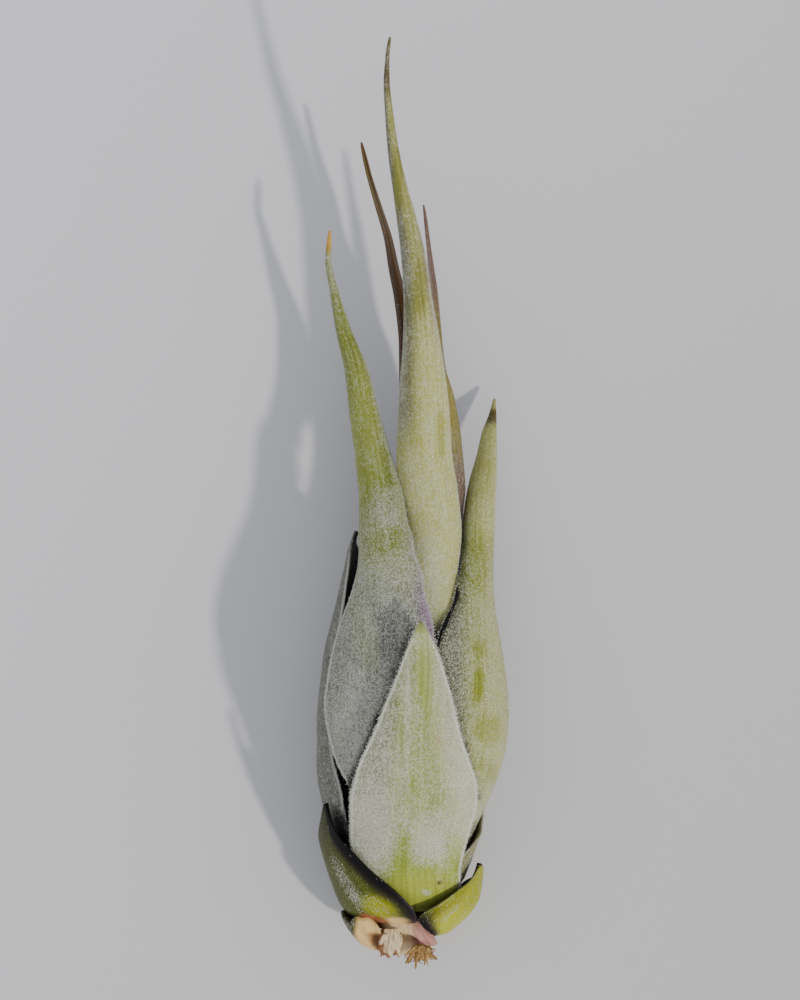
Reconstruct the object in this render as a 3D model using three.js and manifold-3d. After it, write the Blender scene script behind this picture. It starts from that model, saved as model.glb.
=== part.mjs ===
// Paucifolia air plant (Tillandsia paucifolia), a whole bare plant lying on its side, in millimetres.
// +Y runs from the foot to the leaf tips, +Z is up, and the origin is under the middle of the plant's box.
// The plant is a rosette: twelve leaves clasp a short stem in layers, and their feet swell into a bulb.

import * as THREE from 'three';
import { mergeVertices } from 'three/addons/utils/BufferGeometryUtils.js';
import Module from 'manifold-3d';

const wasm = await Module();
wasm.setup();

// Driving dimensions
const LEAF_THICKNESS = 0.62;
const LAYER_PITCH = 1.12;
const BULB_FLATNESS = 0.82;
const STEM_RADIUS = 2.6;
const SEAT_GAP = 0.35;
const SLENDER_TIP_RADIUS = 0.34;
const STATIONS = 26;
const ACROSS = 10;

// Most of a rolled tip's radius that the leaf may fill, so that a narrow tip keeps a hollow
const MOST_OF_RADIUS = 0.85;

// Points that a curve is read at before the stations are spaced evenly along it
const CURVE_SAMPLES = 400;
const PROFILE_SAMPLES = 240;
const LEAST_STEP = 1e-4;

// Spacing of those points at the foot, where a leaf turns fastest, as a share of their mean spacing
const FOOT_SPACING = 0.25;

// Middle of the plant's box, which the finished plant is moved by
const BOX_CENTRE_X = 1.64;
const BOX_CENTRE_Y = -1.18;

// Outer layer of the bulb as [y, radius], from the foot to the neck
const BULB_PROFILE = [
  [-54.2, 2.9], [-53.9, 4.6], [-53.0, 6.3], [-51.8, 7.6], [-50.2, 8.7], [-47.0, 9.9],
  [-43.5, 11.1], [-39.6, 12.7], [-36.4, 13.8], [-33.0, 14.5], [-29.6, 14.8], [-26.2, 14.7],
  [-22.2, 14.2], [-18.3, 13.5], [-14.0, 12.5], [-10.0, 11.7], [-6.0, 11.0], [4.0, 9.6],
];

// Axis of the bulb as [y, x, z]
const BULB_AXIS = [
  [-62.0, 1.0, 6.4], [-58.0, 1.0, 6.9], [-55.0, 0.9, 7.5], [-50.0, 0.9, 8.8], [-46.0, 0.9, 9.7],
  [-38.0, 1.3, 10.75], [-30.0, 1.6, 11.7], [-24.0, 1.75, 11.6], [-18.0, 1.9, 10.9], [-12.0, 2.1, 10.6],
  [-6.0, 2.2, 10.5], [6.0, 2.3, 10.5],
];

// Smooth curve through rows whose first number rises, read at one value of it
function monotoneCurve(rows, column) {
  const xs = rows.map((row) => row[0]);
  const ys = rows.map((row) => row[column]);
  const slopes = [];
  for (let i = 0; i < xs.length - 1; i += 1) {
    slopes.push((ys[i + 1] - ys[i]) / (xs[i + 1] - xs[i]));
  }
  const tangents = xs.map((_, i) => {
    if (i === 0) {
      return slopes[0];
    }
    if (i === xs.length - 1) {
      return slopes[slopes.length - 1];
    }
    if (slopes[i - 1] * slopes[i] <= 0) {
      return 0;
    }
    return 2 * slopes[i - 1] * slopes[i] / (slopes[i - 1] + slopes[i]);
  });
  return (x) => {
    if (x <= xs[0]) {
      return ys[0];
    }
    if (x >= xs[xs.length - 1]) {
      return ys[ys.length - 1];
    }
    const i = xs.findIndex((value) => value > x) - 1;
    const span = xs[i + 1] - xs[i];
    const t = (x - xs[i]) / span;
    const h00 = (1 + 2 * t) * (1 - t) * (1 - t);
    const h10 = t * (1 - t) * (1 - t);
    const h01 = t * t * (3 - 2 * t);
    const h11 = t * t * (t - 1);
    return h00 * ys[i] + h10 * span * tangents[i] + h01 * ys[i + 1] + h11 * span * tangents[i + 1];
  };
}

const axisX = monotoneCurve(BULB_AXIS, 1);
const axisZ = monotoneCurve(BULB_AXIS, 2);
const profileSpline = new THREE.SplineCurve(BULB_PROFILE.map(([y, r]) => new THREE.Vector2(y, r)));

// Radius of one layer of the bulb: the outer profile moved inward along its normal
function layerProfile(level) {
  const rows = [];
  for (let i = 0; i <= PROFILE_SAMPLES; i += 1) {
    const point = profileSpline.getPoint(i / PROFILE_SAMPLES);
    const along = profileSpline.getTangent(i / PROFILE_SAMPLES);
    const y = point.x + along.y * level * LAYER_PITCH;
    const r = point.y - along.x * level * LAYER_PITCH;
    if (r >= STEM_RADIUS + SEAT_GAP && (rows.length === 0 || y > rows[rows.length - 1][0] + LEAST_STEP)) {
      rows.push([y, r]);
    }
  }
  return rows;
}

function smoothstep(from, to, value) {
  const t = THREE.MathUtils.clamp((value - from) / (to - from), 0, 1);
  return t * t * (3 - 2 * t);
}

// One closed leaf: an arc swept from the foot to the tip. span rows are [y, azimuth of the midrib, half
// angle of the arc], where azimuth 0 is up and 90 is +X. blade rows are [y, x, z, radius] of the rolled
// blade, which the arc takes on between leaves and free. A leaf with no blade keeps to its layer of the
// bulb, or to the profile of its own that it gives, up to its tip. lift rows are [y, distance] that it
// stands off its layer, and tuck rows are [y, left, right] that its margins turn in, or turn out where
// they are below zero. thicker adds to the middle of a leaf that is laid on, floorCut flattens it where
// it meets the surface, and edge moves the torn edge of a broken leaf along Y.
function leafGeometry({ level, span, blade, leaves, free, profile, lift = [[-60, 0], [60, 0]], tuck,
  floorCut, thicker = 0, stations = STATIONS, across = ACROSS, edge = () => 0 }) {
  const rows = profile ?? layerProfile(level);
  const layerRadius = monotoneCurve(rows, 1);
  const liftOff = monotoneCurve(lift, 1);
  const tuckLeft = tuck ? monotoneCurve(tuck, 1) : () => 0;
  const tuckRight = tuck ? monotoneCurve(tuck, 2) : () => 0;
  const midrib = monotoneCurve(span, 1);
  const halfAngle = monotoneCurve(span, 2);
  const bladeX = blade && monotoneCurve(blade, 1);
  const bladeZ = blade && monotoneCurve(blade, 2);
  const bladeR = blade && monotoneCurve(blade, 3);
  const footY = rows[0][0];
  const tipY = span[span.length - 1][0];

  const section = (y) => {
    const rolled = blade ? smoothstep(leaves, free, y) : 0;
    const mix = (sheath, own) => (blade ? THREE.MathUtils.lerp(sheath, own(y), rolled) : sheath);
    return {
      y,
      x: mix(axisX(y), bladeX),
      z: mix(axisZ(y), bladeZ),
      r: mix(layerRadius(y), bladeR) + liftOff(y),
      left: tuckLeft(y),
      right: tuckRight(y),
      flat: THREE.MathUtils.lerp(BULB_FLATNESS, 1, rolled),
      mid: THREE.MathUtils.degToRad(midrib(y)),
      half: THREE.MathUtils.degToRad(halfAngle(y)),
    };
  };
  const pointOf = (s, v) => {
    const angle = s.mid + v * s.half;
    const torn = edge(v) * smoothstep(footY, tipY, s.y);
    const r = s.r - (v < 0 ? s.left : s.right) * Math.abs(v) ** 3;
    return new THREE.Vector3(s.x + r * Math.sin(angle), s.y + torn, s.z + s.flat * r * Math.cos(angle));
  };

  const dense = [];
  for (let i = 0; i <= CURVE_SAMPLES; i += 1) {
    const t = i / CURVE_SAMPLES;
    dense.push(section(footY + (tipY - footY) * t * THREE.MathUtils.lerp(FOOT_SPACING, 1, t)));
  }
  const lengths = [0];
  for (let i = 1; i <= CURVE_SAMPLES; i += 1) {
    lengths.push(lengths[i - 1] + pointOf(dense[i], 0).distanceTo(pointOf(dense[i - 1], 0)));
  }
  const total = lengths[CURVE_SAMPLES];
  const picked = [];
  for (let k = 0; k <= stations; k += 1) {
    const wanted = total * k / stations;
    picked.push(dense[lengths.findIndex((value) => value >= wanted - LEAST_STEP)]);
  }

  const outer = picked.map((s) => {
    const ring = [];
    for (let j = 0; j <= across; j += 1) {
      ring.push(pointOf(s, 2 * j / across - 1));
    }
    return ring;
  });
  const inner = outer.map((ring, i) => ring.map((point, j) => {
    const before = outer[Math.max(i - 1, 0)][j];
    const after = outer[Math.min(i + 1, stations)][j];
    const left = ring[Math.max(j - 1, 0)];
    const right = ring[Math.min(j + 1, across)];
    const along = after.clone().sub(before);
    const over = right.clone().sub(left);
    const normal = along.cross(over).normalize();
    const middle = 1 - (2 * j / across - 1) ** 2;
    const depth = Math.min(LEAF_THICKNESS + thicker * middle * middle, MOST_OF_RADIUS * picked[i].r);
    return point.clone().addScaledVector(normal, depth);
  }));
  if (floorCut) {
    for (const point of outer.flat()) {
      point.z = Math.max(point.z, 0);
    }
  }
  return shellGeometry(outer, inner);
}

// A closed shell between two grids of points, split alike on both faces
function shellGeometry(outer, inner) {
  const rows = outer.length;
  const columns = outer[0].length;
  const positions = [];
  for (const point of [...outer.flat(), ...inner.flat()]) {
    positions.push(point.x, point.y, point.z);
  }
  const out = (i, j) => i * columns + j;
  const inn = (i, j) => rows * columns + i * columns + j;
  const index = [];
  const quad = (a, b, c, d) => index.push(a, c, b, a, d, c);
  for (let i = 0; i < rows - 1; i += 1) {
    for (let j = 0; j < columns - 1; j += 1) {
      quad(out(i, j), out(i + 1, j), out(i + 1, j + 1), out(i, j + 1));
      index.push(inn(i, j), inn(i + 1, j), inn(i + 1, j + 1));
      index.push(inn(i, j), inn(i + 1, j + 1), inn(i, j + 1));
    }
    quad(out(i, 0), inn(i, 0), inn(i + 1, 0), out(i + 1, 0));
    quad(out(i, columns - 1), out(i + 1, columns - 1), inn(i + 1, columns - 1), inn(i, columns - 1));
  }
  for (let j = 0; j < columns - 1; j += 1) {
    quad(out(0, j), out(0, j + 1), inn(0, j + 1), inn(0, j));
    quad(out(rows - 1, j), inn(rows - 1, j), inn(rows - 1, j + 1), out(rows - 1, j + 1));
  }
  const geometry = new THREE.BufferGeometry();
  geometry.setAttribute('position', new THREE.Float32BufferAttribute(positions, 3));
  geometry.setIndex(index);
  geometry.computeVertexNormals();
  return geometry;
}

const leafShapes = {
  // The broad silver leaf in front, a shield that lies over the left and right leaves
  leaf_front_short: {
    colour: '#b4b9a6',
    level: 0,
    stations: 22,
    span: [
      [-54.2, 4, 60], [-51.5, 3, 55], [-48, 0.8, 46], [-44, 1.7, 43.6], [-39.6, 3.4, 38.4],
      [-36.4, 3.3, 33.4], [-33, 2, 26.8],
      [-29.6, 2.2, 20.6], [-25.2, 3, 15.2], [-21.9, 3.5, 11], [-18.6, 3.2, 6.4], [-15.4, 2.5, 1.3],
    ],
    lift: [[-36, 0], [-30, 0.3], [-24, 1.0], [-19, 1.9], [-15.4, 2.8]],
    tuck: [[-45, 0, 0], [-42, -0.2, 0], [-37, -0.9, -0.3], [-30, -0.7, -0.4], [-22, 0, 0]],
  },
  // A short leaf like it on the underside, which the plant lies on
  leaf_under_short: {
    colour: '#8f9a78',
    level: 0,
    thicker: 0.4,
    floorCut: true,
    span: [
      [-54.2, 181, 55], [-50, 181, 50], [-44, 181, 48], [-38, 180, 46], [-30, 180, 40],
      [-22, 179, 30], [-15, 178, 17], [-10, 178, 6], [-8, 178, 1.6],
    ],
  },
  leaf_left_long: {
    colour: '#a9b48c',
    level: 1,
    leaves: -17,
    free: -2,
    span: [
      [-54.5, -8, 45], [-46, -8, 36], [-37.4, -8, 31], [-33.6, -12, 35], [-30.1, -16, 36.6],
      [-26.3, -20, 37.5], [-22, -22, 36], [-17, -23.5, 35], [-13, -23.5, 34.5], [-9.5, -21.5, 41],
      [-6.5, -25, 55], [-3.7, -29, 82], [2, -25, 90], [12, -20, 95], [22, -15, 105], [35.3, -12, 115],
    ],
    blade: [
      [-20, -1.2, 14.5, 6.0], [-10, -1.5, 15.0, 4.6], [-3.7, -1.9, 14.8, 3.65], [0.3, -2.25, 13.5, 3.15],
      [5.7, -3.4, 12.0, 2.5], [11, -4.6, 10.9, 2.05], [17, -5.7, 10.4, 1.62], [22.7, -7.5, 10.6, 1.05],
      [27.3, -8.6, 11.0, 0.62], [31.5, -9.4, 11.4, 0.4], [35.3, -9.2, 11.5, SLENDER_TIP_RADIUS],
    ],
    tuck: [[-20, 0, 0], [-15, 0.4, 0], [-11, 0.7, 0], [-7, 0.95, 0], [-3, 0.6, 0], [1, 0.2, 0], [5, 0, 0]],
  },
  leaf_centre_tall: {
    colour: '#a8ad84',
    level: 3,
    leaves: -21,
    free: -8,
    stations: 30,
    span: [
      [-52, 0, 120], [-40, 0, 95], [-25, 2, 76], [-17, 2, 66], [-12, 3, 66], [-3.7, 3, 78], [7, 2, 82],
      [20, 0, 92], [35, 0, 105], [59, 0, 120],
    ],
    blade: [
      [-20, 3.0, 11.3, 6.6], [-10, 3.3, 11.6, 4.5], [-3.7, 3.9, 11.9, 4.15], [1.7, 3.5, 12.2, 4.0],
      [7, 3.1, 12.7, 3.63], [11.3, 3.1, 13.2, 3.35], [14.5, 3.0, 13.6, 3.1], [20.7, 2.8, 14.7, 2.4],
      [26.6, 2.3, 15.7, 1.8], [31.4, 1.74, 16.5, 1.6], [35.6, 0.97, 17.2, 1.36], [39.6, 0.13, 18.0, 1.03],
      [44.4, -0.77, 19.0, 0.77], [49.6, -1.4, 20.0, 0.54], [53.6, -1.7, 20.7, 0.4],
      [56.6, -1.6, 21.2, SLENDER_TIP_RADIUS], [59.5, -1.2, 21.7, SLENDER_TIP_RADIUS],
    ],
  },
  leaf_right_long: {
    colour: '#9ea67c',
    level: 2,
    leaves: -19,
    free: -5,
    span: [
      [-53, 48, 60], [-44, 46, 42], [-36, 48, 44], [-26, 56, 53], [-18.5, 60, 45], [-13.8, 62, 45],
      [-9.5, 60, 63], [-5, 36, 102], [2, 34, 110], [8, 38, 112], [13.6, 42, 115],
    ],
    blade: [
      [-24, 6, 10.2, 8.0], [-13.8, 9.6, 10.0, 3.4], [-9.2, 10.0, 9.8, 2.6], [-5.1, 10.2, 9.5, 2.3],
      [-1.0, 10.5, 8.8, 2.1], [2.2, 10.9, 7.8, 1.85], [5.8, 11.5, 6.2, 1.4], [9.1, 11.9, 4.7, 1.0],
      [11.5, 12.4, 3.5, 0.55], [13.7, 12.7, 2.4, SLENDER_TIP_RADIUS],
    ],
    tuck: [[-20, 0, 0], [-16, 0.25, 0], [-12, 0.4, 0], [-8, 0.3, 0], [-4, 0, 0]],
  },
  leaf_left_short: {
    colour: '#7c8468',
    level: 2,
    span: [
      [-53, -108, 50], [-44, -106, 48], [-30, -104, 46], [-20, -103, 42], [-12, -101, 34], [-7, -99, 25],
      [-4, -88, 4],
    ],
    lift: [
      [-51, 0], [-46, 1.0], [-42, 1.3], [-38, 0.9], [-34, 0.3], [-31, 0], [-24, 0.1], [-20, 0.3],
      [-12, 0.35], [-7, 0.3], [-4, -0.2],
    ],
  },
  leaf_right_under_short: {
    colour: '#6f7350',
    level: 1,
    stations: 22,
    span: [
      [-53, 96, 50], [-49.5, 96, 48], [-46.5, 118, 26], [-44, 132, 13], [-40, 134, 14], [-36, 134, 15],
      [-30, 133, 15], [-22, 132, 11], [-17, 130, 3],
    ],
  },
  leaf_back_right_long: {
    colour: '#8c7f6a',
    level: 4,
    leaves: -17,
    free: -1,
    stations: 26,
    span: [
      [-50, 140, 95], [-40, 138, 80], [-20, 130, 58], [-12, 120, 48], [-5, 102, 58], [2, 86, 72],
      [15, 82, 90], [38.6, 90, 110],
    ],
    blade: [
      [-20, 5.0, 9.5, 5.0], [-8, 5.5, 8.2, 3.0], [-1.8, 5.7, 7.9, 2.6], [1.7, 6.15, 8.4, 2.5],
      [7, 6.0, 9.3, 2.25], [13, 5.4, 10.2, 1.85], [17.9, 4.6, 10.7, 1.3], [22.8, 4.4, 11.2, 1.0],
      [27, 4.2, 11.6, 0.8], [31, 3.8, 11.9, 0.6], [34, 3.5, 12.1, 0.45],
      [38.9, 3.0, 12.3, SLENDER_TIP_RADIUS],
    ],
  },
  leaf_back_left_long: {
    colour: '#6d6048',
    level: 5,
    leaves: -17,
    free: -1,
    stations: 28,
    span: [
      [-49, -150, 100], [-40, -150, 84], [-20, -146, 68], [-12, -140, 58], [-5, -140, 60], [10, -145, 80],
      [30, -140, 100], [47.2, -130, 115],
    ],
    blade: [
      [-20, 0.6, 9.5, 4.0], [-8, 0.8, 9.2, 2.8], [0, 1.3, 9.0, 2.2], [10, 1.6, 8.9, 1.75],
      [20, 1.2, 9.0, 1.35], [26.5, 0.2, 9.1, 1.0], [30.3, -0.7, 9.2, 0.8], [34.4, -1.5, 9.2, 0.62],
      [39, -2.9, 9.2, 0.5], [43, -4.1, 9.1, 0.4], [47.2, -5.1, 9.0, SLENDER_TIP_RADIUS],
    ],
  },
  bract_left: {
    colour: '#6b7440',
    profile: [
      [-55.6, 2.95], [-55.5, 5.4], [-55.0, 7.2], [-53.6, 8.7], [-50.4, 9.95], [-47, 11.0], [-43.5, 11.9],
      [-39.6, 12.7],
    ],
    stations: 16,
    span: [
      [-55.6, -65, 76], [-54, -66, 74], [-52, -65, 64], [-48.3, -71, 47], [-45.4, -66, 27],
      [-43.4, -64, 14.5], [-41.4, -62, 6.5], [-39.6, -60, 1.7],
    ],
  },
  bract_right: {
    colour: '#9aa24e',
    profile: [
      [-57.6, 4.0], [-57.3, 5.2], [-56.3, 6.6], [-54.3, 8.7], [-52.3, 9.7], [-50.4, 10.0], [-47.8, 10.2],
    ],
    stations: 14,
    span: [
      [-57.6, 75, 62], [-55.8, 74, 64], [-54.5, 75, 61], [-52.5, 82, 54], [-50.6, 92, 36],
      [-49.2, 86, 19], [-48.3, 76, 8], [-47.8, 70, 2],
    ],
  },
  // The lowest leaf is torn off near its foot
  bract_torn: {
    colour: '#9a9a7c',
    profile: [[-59.7, 4.0], [-59.3, 5.4], [-58.6, 6.6], [-57.2, 7.7], [-55.6, 8.5], [-53.4, 9.2]],
    stations: 8,
    span: [[-59.7, -88, 54], [-58.2, -88, 55], [-57, -88, 56.2], [-55.8, -88, 56.5], [-54.95, -88, 55]],
    edge: (v) => 0.45 * Math.sin(9 * v + 1) + 0.2 * Math.sin(23 * v),
  },
};

const plant = new THREE.Group();
plant.position.set(-BOX_CENTRE_X, -BOX_CENTRE_Y, 0);
const CYLINDER_AXIS = new THREE.Vector3(0, 1, 0);

function addPiece(name, geometry, colour, roughness) {
  const material = new THREE.MeshStandardMaterial({ color: colour, roughness, metalness: 0 });
  const mesh = new THREE.Mesh(geometry, material);
  mesh.name = name;
  plant.add(mesh);
}

for (const [name, shape] of Object.entries(leafShapes)) {
  addPiece(name, leafGeometry(shape), shape.colour, 0.8);
}

// The short stem that every leaf stands on, flattened like the bulb and bent along its axis. Its foot
// swells where the lowest leaves were, most of all in front, on the left.
function stemGeometry() {
  const swelling = 1.15;
  const swellingAzimuth = THREE.MathUtils.degToRad(-55);
  const profile = [
    [0, -60.3], [2.0, -60.2], [3.0, -59.8], [3.5, -58.8], [3.6, -57.6], [3.3, -56.5], [2.5, -56.0],
    [2.3, -54.0], [2.1, -50.0], [1.8, -46.0], [1.3, -44.4], [0, -44.0],
  ];
  const geometry = new THREE.LatheGeometry(profile.map(([r, y]) => new THREE.Vector2(r, y)), 32);
  const positions = geometry.attributes.position;
  for (let i = 0; i < positions.count; i += 1) {
    const y = positions.getY(i);
    const r = Math.hypot(positions.getX(i), positions.getZ(i));
    const azimuth = Math.atan2(positions.getX(i), positions.getZ(i));
    const near = Math.max(Math.cos(azimuth - swellingAzimuth), 0);
    const around = smoothstep(-59.6, -58.2, y) * (1 - smoothstep(-58.4, -57.2, y));
    const wide = r > 0 ? 1 + swelling * near * around / r : 1;
    positions.setX(i, positions.getX(i) * wide + axisX(y));
    positions.setZ(i, positions.getZ(i) * wide * BULB_FLATNESS + axisZ(y));
  }
  return geometry;
}

addPiece('stem', stemGeometry(), '#c9b896', 0.75);

// A dry scale that has curled up on the end of the stem
function dryScaleGeometry() {
  const length = 4.2;
  const radius = 1.5;
  const firstAngle = -70;
  const wrap = 224;
  const rimNarrowing = 0.28;
  const dents = 0.12;
  const notches = 0.22;
  const rows = 8;
  const columns = 12;
  const centre = new THREE.Vector3(-1.35, -60.3, 11.35);
  const grid = (offset) => {
    const result = [];
    for (let i = 0; i <= rows; i += 1) {
      const ring = [];
      for (let j = 0; j <= columns; j += 1) {
        const angle = THREE.MathUtils.degToRad(firstAngle + wrap * j / columns);
        const belly = 1 - rimNarrowing * (1 - Math.sin(Math.PI * (i + 1) / (rows + 1)));
        const r = radius * (1 - dents * Math.cos(3 * angle)) * belly - offset;
        const down = 1 - i / rows;
        const reach = length * (1 - down * (1 - notches * Math.sin(2.4 * angle) ** 2));
        ring.push(new THREE.Vector3(
          centre.x + r * Math.sin(angle), centre.y + reach, centre.z + r * Math.cos(angle),
        ));
      }
      result.push(ring);
    }
    return result;
  };
  return shellGeometry(grid(0), grid(LEAF_THICKNESS));
}

addPiece('dry_scale', dryScaleGeometry(), '#d8c7a0', 0.85);

// The broken end of the old stem: a woody knot with root fibres that stick out of it
function toManifold(geometry) {
  const bare = geometry.clone();
  bare.deleteAttribute('normal');
  bare.deleteAttribute('uv');
  const merged = mergeVertices(bare, LEAST_STEP);
  return new wasm.Manifold(new wasm.Mesh({
    numProp: 3,
    vertProperties: new Float32Array(merged.attributes.position.array),
    triVerts: new Uint32Array(merged.index.array),
  }));
}

function fromManifold(solid) {
  const mesh = solid.getMesh();
  const geometry = new THREE.BufferGeometry();
  geometry.setAttribute('position', new THREE.Float32BufferAttribute(mesh.vertProperties, 3));
  geometry.setIndex(Array.from(mesh.triVerts));
  geometry.computeVertexNormals();
  return geometry;
}

function rootStubGeometry() {
  const centre = new THREE.Vector3(2.7, -59.3, 10.9);
  const fibres = 9;
  const fibreTip = 0.3;
  const fibreFoot = 0.42;
  const knot = new THREE.IcosahedronGeometry(1.0, 2);
  knot.scale(1.25, 1.1, 0.95);
  knot.translate(centre.x, centre.y, centre.z);
  let solid = toManifold(knot);
  for (let k = 0; k < fibres; k += 1) {
    const turn = 2 * Math.PI * k / fibres;
    const length = 1.9 + 0.5 * Math.sin(2.3 * k);
    const fibre = new THREE.CylinderGeometry(fibreTip, fibreFoot, length, 7);
    fibre.translate(0, length / 2, 0);
    const direction = new THREE.Vector3(0.75 * Math.cos(turn), -0.55, 0.3 + 0.5 * Math.sin(turn)).normalize();
    fibre.applyQuaternion(new THREE.Quaternion().setFromUnitVectors(CYLINDER_AXIS, direction));
    fibre.translate(centre.x, centre.y, centre.z);
    solid = solid.add(toManifold(fibre));
  }
  return fromManifold(solid);
}

addPiece('root_stub', rootStubGeometry(), '#7d6244', 0.95);

export default plant;
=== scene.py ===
import math

import bpy
import numpy as np
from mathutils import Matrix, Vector


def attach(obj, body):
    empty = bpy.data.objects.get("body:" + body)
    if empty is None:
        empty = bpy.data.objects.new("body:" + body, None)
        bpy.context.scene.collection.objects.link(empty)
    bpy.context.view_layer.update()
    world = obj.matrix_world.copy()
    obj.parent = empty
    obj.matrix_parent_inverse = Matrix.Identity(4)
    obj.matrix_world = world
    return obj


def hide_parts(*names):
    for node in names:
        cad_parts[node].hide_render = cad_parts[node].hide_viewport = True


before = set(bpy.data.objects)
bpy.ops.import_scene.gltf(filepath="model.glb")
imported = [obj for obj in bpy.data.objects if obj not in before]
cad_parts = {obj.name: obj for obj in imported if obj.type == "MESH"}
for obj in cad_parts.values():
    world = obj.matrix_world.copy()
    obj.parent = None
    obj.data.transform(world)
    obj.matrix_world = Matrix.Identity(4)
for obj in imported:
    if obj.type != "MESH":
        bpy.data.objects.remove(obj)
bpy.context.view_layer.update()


# Camera, table and lights
# The plant lies on a pale matt table and is seen from straight above. The sun is soft and comes from the
# foot on the right, and a wide bright sky fills the shadows. Lengths are in millimetres.
MM = 0.001
PIXELS_PER_MM = 7.4
EYE_HEIGHT = 380.0
IMAGE_HEIGHT_AT_TABLE = 1000 / PIXELS_PER_MM
IMAGE_CENTRE = (-1.64, 1.18)
HALF_TABLE = 3000.0
TABLE_CLOUDS_PER_METRE = 9.0
SUN_TRAVEL = Vector((-0.86, 0.71, -1.0))


def linear(hex_colour):
    """An sRGB hex colour as linear light, with full opacity."""
    channels = [int(hex_colour[i:i + 2], 16) / 255 for i in (1, 3, 5)]
    return [c / 12.92 if c <= 0.04045 else ((c + 0.055) / 1.055) ** 2.4 for c in channels] + [1.0]


def add(tree, kind, inputs=None, **settings):
    """A shader node with its settings, whose inputs are given as values, nodes or outputs of nodes."""
    made = tree.nodes.new("ShaderNode" + kind)
    for key, value in settings.items():
        setattr(made, key, value)
    for key, value in (inputs or {}).items():
        if isinstance(value, bpy.types.Node):
            value = value.outputs[0]
        if isinstance(value, bpy.types.NodeSocket):
            tree.links.new(value, made.inputs[key])
        else:
            made.inputs[key].default_value = value
    return made


def new_material(name):
    material = bpy.data.materials.new(name)
    material.use_nodes = True
    material.node_tree.nodes.clear()
    return material


def in_scene(name, data):
    made = bpy.data.objects.new(name, data)
    bpy.context.scene.collection.objects.link(made)
    return made


camera_data = bpy.data.cameras.new("camera")
camera_data.sensor_fit = "VERTICAL"
camera_data.angle = 2 * math.atan(IMAGE_HEIGHT_AT_TABLE / 2 / EYE_HEIGHT)
camera_data.clip_start = 0.01
camera = in_scene("camera", camera_data)
camera.location = (IMAGE_CENTRE[0] * MM, IMAGE_CENTRE[1] * MM, EYE_HEIGHT * MM)
bpy.context.scene.camera = camera

table_mesh = bpy.data.meshes.new("table")
edge = HALF_TABLE * MM
corners = [(-edge, -edge, 0), (edge, -edge, 0), (edge, edge, 0), (-edge, edge, 0)]
table_mesh.from_pydata(corners, [], [(0, 1, 2, 3)])
table = in_scene("table", table_mesh)

# Board rolled with matt paint: no gloss and faint clouds 110 mm across, with painted light to the upper left
painted_board = new_material("painted board, matt and slightly cloudy")
tree = painted_board.node_tree
place = add(tree, "TexCoord").outputs["Object"]
cloud = add(tree, "TexNoise", {"Vector": place, "Scale": TABLE_CLOUDS_PER_METRE, "Detail": 4.0})
# Painted light: the board's colour grows a little lighter towards the upper left, as light falling off
across = add(tree, "VectorMath", {0: place, 1: (-6.0, 4.0, 0.0)}, operation="DOT_PRODUCT").outputs["Value"]
clouds_and_painted_falloff = add(tree, "Math", {0: cloud, 1: 0.3, 2: across}, operation="MULTIPLY_ADD")
clouds_and_painted_falloff = add(tree, "Math", {0: clouds_and_painted_falloff, 1: 0.35}, operation="ADD")
shade = add(tree, "MixRGB", {"Fac": clouds_and_painted_falloff, "Color1": linear("#cfced0"), "Color2": linear("#e2e1e5")})
board = add(tree, "BsdfPrincipled", {"Base Color": shade, "Roughness": 0.7})
add(tree, "OutputMaterial", {"Surface": board})
table_mesh.materials.append(painted_board)

sun_data = bpy.data.lights.new("soft sun", "SUN")
sun_data.energy = 1.9
sun_data.angle = math.radians(3.2)
sun_data.color = (1.0, 0.955, 0.88)
sun = in_scene("soft sun", sun_data)
sun.rotation_euler = SUN_TRAVEL.to_track_quat("-Z", "Y").to_euler()

sky = bpy.data.worlds.new("sky")
sky.use_nodes = True
sky.node_tree.nodes["Background"].inputs["Color"].default_value = (0.90, 0.93, 1.0, 1.0)
sky.node_tree.nodes["Background"].inputs["Strength"].default_value = 0.74
bpy.context.scene.world = sky


# Front short leaf
# A broad shield of leaf flesh that clasps the bulb in front. It grew as one blade, green inside a coat of
# silver scales, and the scales are worn off at its foot and up its middle.

# The bulb's outer profile as rows of (y, radius), and its middle line as rows of (y, x, z)
BULB_PROFILE = [
    (-54.2, 2.9), (-53.9, 4.6), (-53.0, 6.3), (-51.8, 7.6), (-50.2, 8.7), (-47.0, 9.9),
    (-43.5, 11.1), (-39.6, 12.7), (-36.4, 13.8), (-33.0, 14.5), (-29.6, 14.8), (-26.2, 14.7),
    (-22.2, 14.2), (-18.3, 13.5), (-14.0, 12.5), (-10.0, 11.7), (-6.0, 11.0), (4.0, 9.6),
]
BULB_AXIS = [
    (-62.0, 1.0, 6.4), (-58.0, 1.0, 6.9), (-55.0, 0.9, 7.5), (-50.0, 0.9, 8.8), (-46.0, 0.9, 9.7),
    (-38.0, 1.3, 10.75), (-30.0, 1.6, 11.7), (-24.0, 1.75, 11.6), (-18.0, 1.9, 10.9), (-12.0, 2.1, 10.6),
    (-6.0, 2.2, 10.5), (6.0, 2.3, 10.5),
]
BULB_FLATNESS = 0.82
LAYER_PITCH = 1.12
STEM_SEAT_RADIUS = 2.95
LEAF_THICKNESS = 0.62
MARGIN_THICKNESS = 0.24
LOOSE_HALF_LENGTH = (0.04, 0.11)
LOOSE_HALF_WIDTH = (0.025, 0.06)
LOOSE_STAND_OFF = 0.03
FRINGE_LENGTH = (0.10, 0.30)
FRINGE_HALF_WIDTH = 0.05
FRINGE_ROOT_DEPTH = 0.08

# Places on the plant are in millimetres from the middle of the picture, with x to the right, y towards the
# tips and z up from the table. The part's own frame has its origin at this place.
BOX_CENTRE = np.array([1.64, -1.18, 0.0])

# What is painted on a skin, from 0 to 1: how thick the silver coat is, six colours of the flesh, painted
# shade between leaves, the inner face and the frosted margin
PAINTS = ("silver", "grey", "gold", "blush", "dry", "cream", "rust", "crevice", "inside", "rim")


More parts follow.
